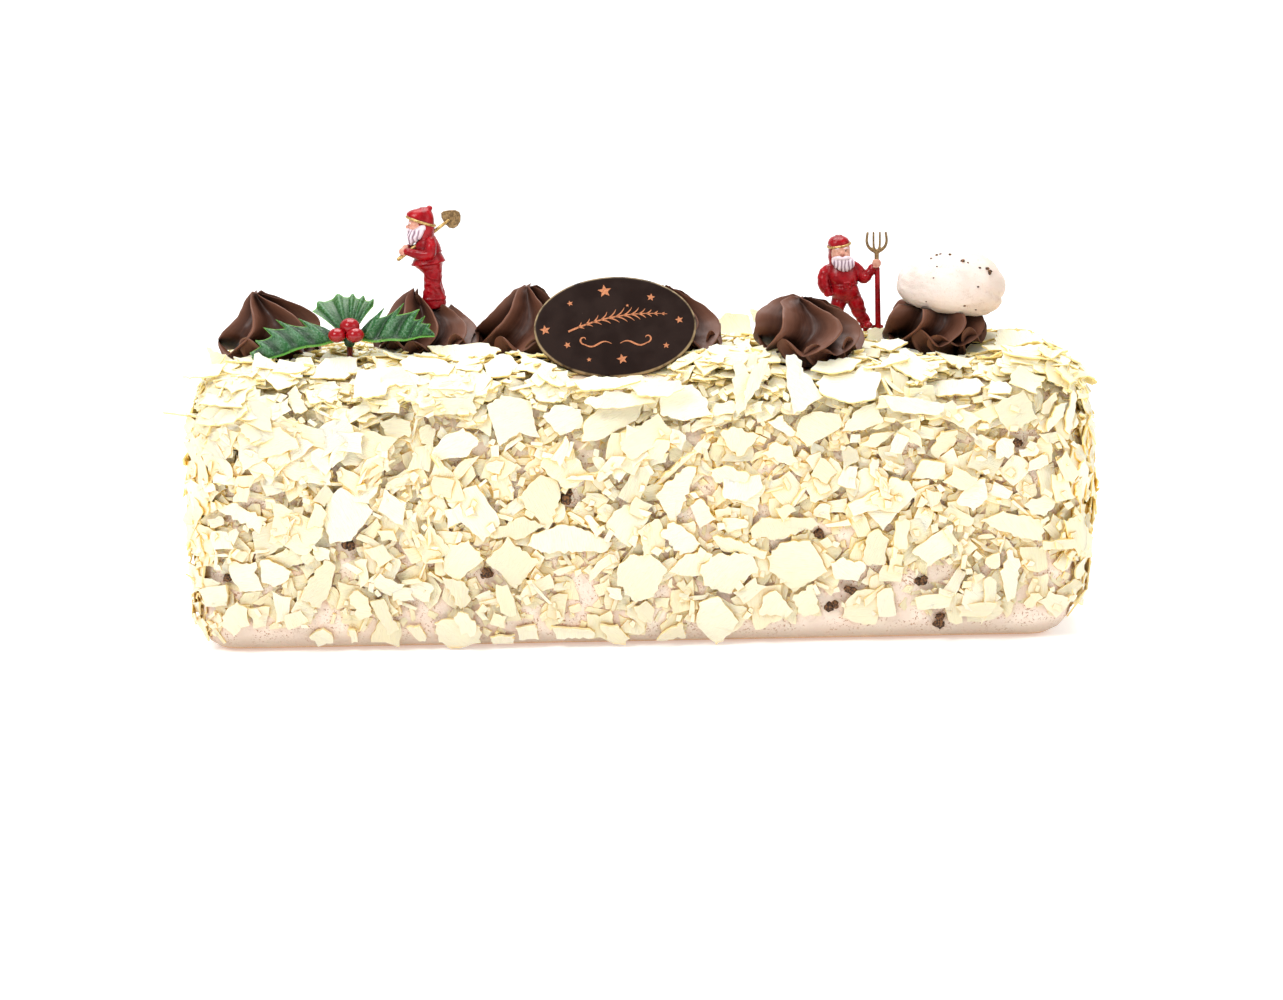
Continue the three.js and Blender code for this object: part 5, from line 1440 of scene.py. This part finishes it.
leaf_parts = [leaf_mesh(spec) for spec in LEAVES] + [fan_mesh()]
hub_part = tube([HOLLY_PLACE + Vector((0, 0, rise)) for rise in (-1.2, 0.6)], [1.9, 2.3])
holly_points, holly_faces = gather([part[:2] for part in leaf_parts] + [hub_part])
holly_rims_and_ridge_light = sum([part[2] for part in leaf_parts], []) + [(0, 0, 0)] * len(hub_part[0])
holly_green = Finish("frosted_green_plastic", {"Specular IOR Level": 0.4, "Subsurface Weight": 0.05})
lime, lit_ridges = [holly_green.read("leaf").axis(name) for name in "XY"]
frost = holly_green.cloud(0.9, 4, 0.7)
holly_green.colour(
    # Painted shade in the furrows and painted light on the ridges
    lit_ridges.ramp(0.1, 0.9), (6, 40, 10), (38, 92, 44),
    (holly_green.cloud(7).ramp(0.35, 0.65) * 0.3, (30, 86, 40)),
    # Frost, real but laid only on the ridges as a painted highlight
    (frost.ramp(0.5, 0.62) * lit_ridges.ramp(0.3, 0.9) * 0.5, (120, 160, 132)),
    (lime.ramp(0.15, 0.9) * 0.85, (92, 158, 56)),
)
holly_green.feed("Roughness", 0.24 + 0.3 * frost.ramp(0.45, 0.65))
holly_green.grain(0.5, 3, 0.2, 0.8)
holly = make_piece("holly_leaf_sprig", holly_points, holly_faces, holly_green, 60, leaf=holly_rims_and_ridge_light)
enter(holly, "holly_leaves")

# The berries: three red balls of glossy plastic with a faint seam, moulded on a dark red spike that is
# pushed into the loaf.
SPIKE_DEPTH = 12
# Each berry: place from the hub of the holly, and radii
BERRIES = [
    ((0.4, -2.2, 4.8), (3.5, 3.4, 2.95)), ((-4.0, -4.4, 2.0), (3.1, 3.0, 2.55)),
    ((2.3, -4.6, 2.0), (3.2, 3.1, 2.65)),
]
berry_parts = [ball(HOLLY_PLACE + Vector(offset), radii, 40, 28) for offset, radii in BERRIES]
spike_foot = (HOLLY_PLACE.x, HOLLY_PLACE.y, TOP - SPIKE_DEPTH)
spike_path = [spike_foot, HOLLY_PLACE + Vector((0, 0, 1.2)), HOLLY_PLACE + Vector((0, -2, 4.6))]
berry_parts.append(tube(spike_path, [0.7, 1.2, 1.6]))
berry_red = Finish("berry_plastic", {"Roughness": 0.2, "Specular IOR Level": 0.35, "Coat Weight": 0.2})
berry_red.colour(
    berry_red.place().axis("Z").ramp(0.105, 0.111), (80, 8, 14), (146, 3, 14),
    (berry_red.cloud(2).ramp(0.45, 0.7) * 0.25, (164, 16, 28)),
)
berry_red.grain(1.5, 2, 0.05, 0.4)
enter(make_piece("holly_berry_cluster", *gather(berry_parts), berry_red, 70), "holly_berries")

# The gnomes: two picks cast in red plastic and painted by hand, with flesh, a white beard and gold. Each
# is one casting in life; here every colour of paint is a skin of its own.
TORSO_SIDES = 32
TORSO_SQUARE = 2.3


def limb(path, radii, steps=5):
    """A rod that bends smoothly along a path of points."""
    rows = smooth_rows([(*spot, radius) for spot, radius in zip(path, radii)], steps)
    return tube([row[:3] for row in rows], [row[3] for row in rows])


def torso(levels):
    """A body of level ovals: middle x, y, height, half width, half depth and slant of each level."""
    rows = smooth_rows([(*level, 0)[:6] for level in levels], 5)
    low, high = rows[0].copy(), rows[-1].copy()
    low[3:5] *= 0.8
    low[2] -= 0.3
    high[3:5] *= 0.75
    high[2] += 0.35
    points = []
    rows = [low] + rows + [high]
    for x, y, z, wide, deep, slant in rows:
        for k in range(TORSO_SIDES):
            angle = k / TORSO_SIDES * 2 * math.pi
            across = math.copysign(abs(math.cos(angle)) ** (2 / TORSO_SQUARE), math.cos(angle)) * wide
            along = math.copysign(abs(math.sin(angle)) ** (2 / TORSO_SQUARE), math.sin(angle)) * deep
            points.append((x + across, y + along, z + along * slant))
    return points, closed_net(len(rows), TORSO_SIDES)


def melt(parts, voxel, rounds):
    """Joins closed parts into one skin with rounded inner corners, as in a casting."""
    points, faces = gather(parts)
    mesh = bpy.data.meshes.new("casting")
    mesh.from_pydata([tuple(Vector(point) * MM) for point in points], [], faces)
    casting = bpy.data.objects.new("casting", mesh)
    bpy.context.scene.collection.objects.link(casting)
    skin = casting.modifiers.new("skin", "REMESH")
    skin.mode = "VOXEL"
    skin.voxel_size = voxel * MM
    rounding = casting.modifiers.new("rounding", "SMOOTH")
    rounding.factor = 0.5
    rounding.iterations = rounds
    melted = bpy.data.meshes.new_from_object(casting.evaluated_get(bpy.context.evaluated_depsgraph_get()))
    points = [tuple(vert.co / MM) for vert in melted.vertices]
    faces = [tuple(face.vertices) for face in melted.polygons]
    bpy.data.objects.remove(casting)
    bpy.data.meshes.remove(melted)
    return points, faces


def engrave(piece, depth_at):
    """Moves the skin in or out by a depth in millimetres that a place on it gives."""
    normals = [vert.normal.copy() for vert in piece.data.vertices]
    for vert, normal in zip(piece.data.vertices, normals):
        vert.co += normal * depth_at(vert.co / MM) * MM


suit_red = Finish("glossy_red_paint", {"Specular IOR Level": 0.28})
worn = suit_red.cloud(1.6, 3)
suit_red.colour(
    suit_red.cloud(4, 2).ramp(0.35, 0.65), (132, 3, 14), (162, 7, 20),
    # Painted shade in the creases
    (suit_red.shade(1.5, 0.35, 0.9) * 0.9, (58, 0, 5)),
    (worn.ramp(0.64, 0.74) * 0.2, (92, 6, 12)),
)
suit_red.feed("Roughness", 0.24 + 0.14 * worn.ramp(0.4, 0.7))
suit_red.grain(1.2, 2, 0.025, 0.3)
flesh = Finish("flesh_paint", {"Roughness": 0.45, "Specular IOR Level": 0.35})
flesh.colour(flesh.cloud(1.2, 2).ramp(0.45, 0.65) * 0.6, (214, 160, 138), (196, 116, 100))
flesh.grain(0.6, 2, 0.05, 0.4)
beard_white = Finish("beard_paint", {"Roughness": 0.5, "Specular IOR Level": 0.35})
# Painted shade in the combed grooves of the beards
beard_white.colour(beard_white.read("groove", "Fac"), (236, 218, 226), (126, 92, 112))
beard_white.grain(0.3, 2, 0.03, 0.4)
gold_paint = Finish("gold_paint", {"Metallic": 0.65, "Roughness": 0.38})
gold_paint.colour(gold_paint.cloud(0.7, 3).ramp(0.35, 0.65), (150, 112, 58), (214, 180, 116))
gold_paint.grain(0.4, 2, 0.04, 0.5)
bronze_paint = Finish("bronze_paint", {"Metallic": 0.55, "Roughness": 0.42})
bronze_paint.colour(bronze_paint.cloud(0.8, 3).ramp(0.35, 0.65), (104, 80, 50), (156, 126, 84))
bronze_paint.grain(0.4, 2, 0.05, 0.6)
eye_paint = Finish("dark_eye_paint", {"Roughness": 0.4})
eye_paint.colour(eye_paint.cloud(0.3, 1), (70, 44, 38), (104, 70, 60))


def pick_piece(gnome, name, parts, finish, voxel=0.22, rounds=2, carve=None, grooves=None):
    """One colour of a gnome: melted, carved in the gnome's own frame, with painted shade in its grooves, and
    stood in its place.
    """
    piece = make_piece(f"{gnome['name']}_{name}", *melt(parts, voxel, rounds), finish, 80)
    if carve:
        engrave(piece, carve)
    if grooves:
        values = np.array([grooves(vert.co / MM) for vert in piece.data.vertices], dtype=np.float32)
        piece.data.attributes.new("groove", "FLOAT", "POINT").data.foreach_set("value", values)
    into_metres = Matrix.Diagonal((MM, MM, MM, 1))
    piece.data.transform(into_metres @ gnome["place"] @ Matrix.Diagonal((1 / MM, 1 / MM, 1 / MM, 1)))
    enter(piece, gnome["node"])


def band(centre, wide, deep, slant, thick, aslant=0.0):
    """A belt or hem round a body: an oval hoop, with its slopes along y and x."""
    path = []
    for k in range(49):
        angle = math.radians(360 * k / 48)
        y = math.sin(angle) * deep
        x = math.cos(angle) * wide
        path.append((centre[0] + x, centre[1] + y, centre[2] + y * slant + x * aslant))
    return tube(path, [thick] * len(path), 10, False)


def strands(low, high, count):
    """Combed lines of a beard, from 0 on the ridges to 1 in the grooves, which are carved and get painted
    shade.
    """
    def at(spot):
        wander = noise.noise(Vector((spot.x * 0.5, spot.y * 0.5, spot.z * 0.35))) * 0.5
        wave = math.sin((spot.x + wander) * count) * 0.5 + 0.5
        return wave ** 2 * ease(high + 0.8, high - 0.8, spot.z) * ease(low - 1, low + 0.6, spot.z)
    return at


FORK_FLOOR = 104.2
FORK_GNOME = {
    "name": "fork_gnome",
    "node": "gnome_with_fork",
    "place": Matrix.Translation((76.5, 12, FORK_FLOOR)),
}
FORK_SPIKE_X = 6.9
POLE_X = 11.3
fork_suit = [
    torso([
        (-0.1, 0, 9.6, 2.4, 2.3), (-0.2, 0, 10.8, 4.5, 3.8), (-0.4, -0.3, 12.6, 5.25, 4.5),
        (-0.7, -0.6, 14.6, 5.0, 4.6), (-1.1, -0.4, 16.2, 4.85, 4.2), (-1.4, -0.4, 18.2, 5.3, 4.5),
        (-1.6, -0.1, 20.6, 5.7, 4.2), (-1.5, 0, 22.8, 5.0, 3.4), (-1.8, 0.2, 24.8, 3.2, 2.6),
    ]),
    torso([
        (-2.4, 1.0, 22.6, 3.4, 2.4), (-2.6, 1, 24.4, 3.9, 3), (-2.7, 0.8, 27, 4.0, 3.4),
        (-2.7, 0.2, 29.6, 3.9, 4.0, 0.06),
    ]),
    torso([
        (-2.8, 0, 29.8, 3.8, 4.0, 0.08), (-2.9, -0.1, 31.0, 4.0, 4.2, 0.08),
        (-2.9, -0.1, 32.3, 3.7, 3.9, 0.05), (-2.9, 0, 33.3, 2.8, 2.9), (-2.9, 0.1, 33.9, 1.4, 1.5),
    ]),
    limb([
        (-4.9, 0.2, 22), (-7.7, 0.1, 20.6), (-8.4, -0.4, 17.4), (-7.8, -1.2, 15.0), (-7.3, -1.8, 14.2),
    ], [2.1, 2.3, 2.4, 2.2, 1.7]),
    limb([
        (1.6, 0.2, 23.2), (4.2, 0, 21.2), (6.0, -0.4, 18.2), (7.8, -0.8, 19.9), (9.5, -1, 22.4),
    ], [2.0, 2.2, 2.0, 1.8, 1.5]),
    limb([(-2.4, 0, 12), (-3.2, -0.6, 9.0), (-4.4, -0.4, 5.6), (-5.7, 0, 2.2)], [2.9, 2.8, 2.4, 2.0]),
    limb([(2.0, 0, 12), (3.3, -0.9, 9.2), (4.7, -0.6, 5.6), (6.6, 0, 2.4)], [2.9, 2.9, 2.5, 2.0]),
    ball((3.6, -2.2, 9.4), (1.7, 1.5, 1.9)),
    ball((-3.2, -2.0, 9.4), (1.7, 1.5, 1.9)),
    ball((-6.2, -1.3, 1.4), (1.8, 2.9, 1.4)),
    ball((7.5, -1.3, 1.4), (1.8, 2.9, 1.4)),
    ball((-7.2, -2.1, 13.3), (1.5, 1.6, 1.35)),
    ball((-5.9, -2.8, 12.9), (0.75, 0.7, 0.7)),
    limb([(-6, -0.6, 0.6), (POLE_X + 1.4, -0.6, 0.6)], [0.65, 0.65]),
    limb([(POLE_X, -1, 0.4), (POLE_X - 0.3, -1, 21.8)], [1.1, 0.95]),
    limb([(FORK_SPIKE_X, 0, TOP - SPIKE_DEPTH - FORK_FLOOR), (FORK_SPIKE_X, 0, 1)], [0.6, 1.1]),
    band((-1.1, -0.45, 16.2), 4.85, 4.35, 0.0, 0.36, aslant=0.09),
    band((9.1, -0.9, 21.6), 1.5, 1.5, -0.2, 0.4),
    band((-7.7, -1.6, 14.9), 1.5, 1.45, 0.1, 0.4),
    band((6.5, -0.1, 3.1), 1.75, 1.7, 0.0, 0.38),
    band((-5.6, -0.1, 3.1), 1.75, 1.7, 0.0, 0.38),
]
# The buckle: its corners, across and up
BUCKLE = [(-1.3, 15.4), (0.9, 15.6), (0.9, 17.3), (-1.3, 17.1)]
for (start_x, start_z), (end_x, end_z) in zip(BUCKLE, BUCKLE[1:] + BUCKLE[:1]):
    fork_suit.append(tube([(start_x, -5.0, start_z), (end_x, -5.0, end_z)], [0.32, 0.32], 8))


def fork_creases(spot):
    """Faint folds of cloth at the knees and elbows, none on the pole, the bar and the spike."""
    if spot.x > 9.6 or spot.z < 2:
        return 0
    fold = 0.13 * math.sin(spot.z * 2.2 + spot.x * 0.8 + noise.noise(spot * 0.3) * 3)
    fold *= ease(9, 6, spot.z) + 0.6 * ease(4.5, 6, abs(spot.x + 1))
    return fold + 0.04 * noise.noise(spot * 1.2)


pick_piece(FORK_GNOME, "suit", fork_suit, suit_red, rounds=3, carve=fork_creases)
fork_face = [
    torso([
        (-2.2, -1.2, 24.6, 3.1, 3), (-2.3, -1.3, 27, 3.45, 3.2), (-2.4, -1.2, 29, 3.4, 3.4),
        (-2.6, -1, 30.8, 3.2, 3.3),
    ]),
    ball((-2.1, -4.75, 27.9), (0.75, 0.85, 0.75)),
    ball((-3.7, -4.1, 27.4), (0.95, 0.8, 0.75)),
    ball((-0.6, -4.1, 27.4), (0.95, 0.8, 0.75)),
    ball((10.75, -1.2, 23.8), (1.65, 1.7, 1.7)),
]
for finger in range(4):
    fork_face.append(ball((10.3, -2.6, 22.7 + 0.75 * finger), (1.2, 0.6, 0.42), 12, 8))
pick_piece(FORK_GNOME, "skin", fork_face, flesh, voxel=0.18)
fork_beard = [
    torso([
        (-1.1, -3.7, 21.5, 1.5, 0.8), (-1.2, -3.6, 22.3, 3.0, 1.6), (-1.4, -3.2, 23.6, 4.0, 2.3),
        (-1.6, -2.6, 25, 4.15, 2.7), (-1.8, -1.9, 26.0, 3.8, 2.7),
    ]),
    limb([(-5.3, -2.8, 25.8), (-3.6, -4.5, 26.3), (-1.9, -4.95, 26.0)], [0.5, 0.8, 0.6]),
    limb([(1.4, -2.8, 25.9), (-0.4, -4.5, 26.3), (-1.9, -4.95, 26.0)], [0.5, 0.8, 0.6]),
    limb([(-4.6, -3.7, 29.4), (-3.7, -4.25, 29.7), (-2.8, -4.25, 29.5)], [0.2, 0.3, 0.22]),
    limb([(0.2, -3.7, 29.6), (-0.6, -4.25, 29.8), (-1.5, -4.25, 29.6)], [0.2, 0.3, 0.22]),
]
fork_lines = strands(20.9, 25.4, 4.6)
pick_piece(FORK_GNOME, "beard", fork_beard, beard_white, voxel=0.16,
           carve=lambda spot: -0.32 * fork_lines(spot), grooves=fork_lines)
fork_gold = [band((-2.8, -0.1, 30.6), 4.05, 4.3, 0.08, 0.45, aslant=0.16)]
pick_piece(FORK_GNOME, "cap_band", fork_gold, gold_paint, voxel=0.16)
fork_eyes = [ball((x, -4.2, 28.8), (0.42, 0.25, 0.28), 12, 8) for x in (-3.6, -0.8)]
pick_piece(FORK_GNOME, "eyes", fork_eyes, eye_paint, voxel=0.1, rounds=1)
FORK_X = POLE_X - 0.5
fork_head = [
    limb([(FORK_X, -1, 21.5), (FORK_X, -1, 28.2)], [0.8, 0.85]),
    limb([(FORK_X - 3.3, -1, 34.8), (FORK_X - 3.6, -1, 31.8), (FORK_X - 2.7, -1, 29.5), (FORK_X, -1, 28.1),
          (FORK_X + 2.7, -1, 29.5), (FORK_X + 3.6, -1, 31.8), (FORK_X + 3.3, -1, 34.8)],
         [0.45, 0.5, 0.58, 0.8, 0.58, 0.5, 0.45], 8),
    limb([(FORK_X - 0.5, -1, 28.3), (FORK_X - 1.1, -1, 30.2), (FORK_X - 1.15, -1, 34.9)], [0.45, 0.42, 0.38]),
    limb([(FORK_X + 0.5, -1, 28.3), (FORK_X + 1.1, -1, 30.2), (FORK_X + 1.15, -1, 34.9)], [0.45, 0.42, 0.38]),
]
pick_piece(FORK_GNOME, "fork", fork_head, bronze_paint, voxel=0.18)

SHOVEL_GNOME = {
    "name": "shovel_gnome",
    "node": "gnome_with_shovel",
    "place": Matrix.Translation((-72.5, -5, 116.3)) @ Matrix.Rotation(-math.pi / 2, 4, "Z"),
}
shovel_suit = [
    torso([
        (0, -0.4, 10, 3.2, 3.1), (0, -0.35, 12, 3.7, 3.2), (0, -1.1, 13.8, 4.3, 4.1),
        (0, -1.8, 15, 4.8, 4.9), (0, -1.9, 16.6, 4.9, 5.2), (0, -1.6, 18.2, 4.6, 4.7),
    ]),
    torso([(0, -1.9, 16.2, 5.3, 5.9, 0.13), (0, -1.8, 17.6, 5.1, 5.5, 0.1), (0, -1.5, 19.6, 4.5, 4.3, 0.05),
           (0, -1.9, 21.6, 4.5, 4.6), (0, -2.1, 23.8, 4.3, 3.9), (0, -1.9, 25.6, 3.1, 2.6)]),
    torso([
        (0, -2.2, 24.0, 3.4, 2.5), (0, -2.4, 26.4, 3.8, 2.9), (0, -2.6, 29, 4.0, 3.3),
        (0, -2.9, 30.6, 4.0, 3.6, -0.3),
    ]),
    torso([
        (0, -4.2, 31.1, 4.2, 4.8, -0.34), (0, -4.3, 32.2, 4.3, 4.9, -0.34),
        (0, -3.8, 33.8, 3.8, 4.2, -0.25), (0, -3.3, 35.0, 2.8, 3.0, -0.12), (0, -3.0, 35.7, 1.4, 1.7),
    ]),
    ball((0, -1.0, 35.6), (1.05, 1.1, 1.05)),
    limb([
        (3.4, -0.8, 24.2), (4.7, -0.7, 22), (4.9, -1.3, 19.7), (4.4, -4.6, 19.5), (2.9, -9.2, 20.6),
    ], [1.9, 2.1, 2.1, 1.9, 1.35]),
    limb([
        (-3.4, -0.8, 24.2), (-4.6, -1.2, 22), (-4.6, -2.2, 20.2), (-3.2, -5.6, 20.6),
        (-0.6, -8.8, 21.6),
    ], [1.9, 2.1, 2.1, 1.8, 1.35]),
    band((2.7, -9.2, 20.7), 1.2, 0.9, 0.6, 0.42),
    band((0, -1.5, 20.0), 4.6, 4.25, 0.1, 0.36),
    band((0, -1.9, 16.3), 5.25, 5.8, 0.13, 0.4),
    ball((3.4, -1.6, 9.4), (1.4, 1.5, 1.2)),
    ball((3.6, 1.4, 8.2), (1.2, 1.2, 1.0)),
    ball((3.3, -1.0, 6.6), (1.3, 2.0, 0.9)),
    tube([(0, 0.2, -14), (0, 0.2, 1)], [0.7, 1.2]),
]
for side in (-1, 1):
    shovel_suit.append(torso([
        (side * 2.2, -0.5, 0.2, 2.2, 4.1), (side * 2.2, -0.5, 1.6, 2.4, 4.6),
        (side * 2.2, -0.3, 3.1, 2.3, 4.1), (side * 2.1, -0.2, 5, 2.25, 3.9),
        (side * 2.1, -0.4, 8.5, 2.3, 3.1), (side * 2.0, -0.35, 12, 2.5, 3.2), (side * 2, -0.3, 14, 2.4, 3.2),
    ]))
    shovel_suit.append(ball((side * 2.4, -3.6, 1.4), (1.9, 1.9, 1.4)))
    shovel_suit.append(band((side * 2.2, -0.15, 3.5), 2.35, 4.05, 0.03, 0.36))


def shovel_creases(spot):
    """Folds of the trousers, which sag on the boots, and of the sleeves."""
    fold = 0.14 * math.sin(spot.z * 1.7 + spot.y * 0.7 + noise.noise(spot * 0.35) * 4)
    fold *= ease(15, 12, spot.z) * ease(4.2, 6, spot.z) + 0.4 * ease(3.5, 5, abs(spot.x))
    return fold + 0.04 * noise.noise(spot * 1.2)


pick_piece(SHOVEL_GNOME, "suit", shovel_suit, suit_red, rounds=3, carve=shovel_creases)
shovel_face = [
    torso([
        (0, -4.6, 26.4, 3.1, 3.2), (0, -5.0, 28.4, 3.4, 3.6), (0, -5.0, 30.4, 3.4, 3.65),
        (0, -4.9, 32, 3.3, 3.4),
    ]),
    ball((0, -8.75, 29.1), (0.8, 0.9, 0.72)),
    ball((1.9, -7.5, 28.9), (1.0, 0.9, 0.8)),
    ball((-1.9, -7.5, 28.9), (1.0, 0.9, 0.8)),
    ball((1.8, -10.7, 20.5), (1.5, 1.5, 1.5)),
    ball((-0.2, -9.8, 21.4), (1.3, 1.4, 1.4)),
]
for finger in range(3):
    shovel_face.append(ball((2.9, -10.6 + 0.4 * finger, 19.6 + 0.75 * finger), (0.6, 1.0, 0.42), 12, 8))
pick_piece(SHOVEL_GNOME, "skin", shovel_face, flesh, voxel=0.18)
shovel_beard = [
    torso([
        (0, -7.9, 22.9, 1.4, 0.8), (0, -7.3, 23.8, 2.8, 1.6), (0, -6.3, 25.2, 4.0, 2.9),
        (0, -5.4, 26.8, 4.6, 3.7), (0, -4.6, 28.0, 4.7, 3.5), (0, -3.6, 29.2, 4.5, 2.4),
        (0, -3.2, 30.0, 4.2, 1.6),
    ]),
    limb([(3.3, -6.7, 27.9), (1.7, -8.3, 28.1), (0, -8.9, 27.8)], [0.4, 0.75, 0.6]),
    limb([(-3.3, -6.7, 27.9), (-1.7, -8.3, 28.1), (0, -8.9, 27.8)], [0.4, 0.75, 0.6]),
    limb([(2.5, -7.6, 30.6), (1.6, -8.35, 30.8), (0.8, -8.45, 30.6)], [0.2, 0.3, 0.22]),
    limb([(-2.5, -7.6, 30.6), (-1.6, -8.35, 30.8), (-0.8, -8.45, 30.6)], [0.2, 0.3, 0.22]),
]


def shovel_lines(spot):
    """Combed lines of the beard, which run down and forward; the grooves are carved and get painted shade."""
    wander = noise.noise(spot * 0.4) * 0.8
    wave = math.sin((spot.y * 0.9 - spot.z * 0.35 + abs(spot.x) * 0.3 + wander) * 4.4) * 0.5 + 0.5
    return wave ** 2 * ease(29.0, 27.6, spot.z) * ease(22.2, 23.2, spot.z)


pick_piece(SHOVEL_GNOME, "beard", shovel_beard, beard_white, voxel=0.16,
           carve=lambda spot: -0.3 * shovel_lines(spot), grooves=shovel_lines)
shovel_gold = [
    band((0, -4.2, 31.1), 4.5, 4.95, -0.34, 0.5),
    tube([(2.3, -12.3, 17.9), (-0.4, 0.4, 27.3), (-1.4, 5.6, 31.1)], [0.72, 0.62, 0.58]),
]
pick_piece(SHOVEL_GNOME, "gold", shovel_gold, gold_paint, voxel=0.16)
shovel_eyes = [ball((side * 1.6, -8.3, 29.9), (0.4, 0.25, 0.3), 12, 8) for side in (-1, 1)]
pick_piece(SHOVEL_GNOME, "eyes", shovel_eyes, eye_paint, voxel=0.1, rounds=1)
SPADE_OUTLINE = [
    (-3.5, 2.3), (-2.6, 3.0), (-0.6, 3.3), (1.6, 3.3), (3.0, 2.6), (3.5, 1.2),
    (3.3, -0.8), (2.3, -2.4), (0.9, -3.3), (-0.8, -3.0), (-2.3, -1.4), (-3.4, 0.6),
]
spade_points = []
spade_rings = [
    (1.0, -0.3), (1.0, 0.2), (0.94, 0.4), (0.86, 0.4), (0.8, 0.22), (0.45, 0.2), (0.4, 0.36), (0.3, 0.36),
    (0.26, 0.2), (0.05, 0.2),
]
for share, out in spade_rings:
    for y, z in SPADE_OUTLINE:
        spade_points.append((-1.9 + out * 1.2, 6.5 + y * share, 31.4 + z * share))
spade = (spade_points, closed_net(len(spade_rings), len(SPADE_OUTLINE)))
pick_piece(SHOVEL_GNOME, "blade", [spade], bronze_paint, voxel=0.15, rounds=1)
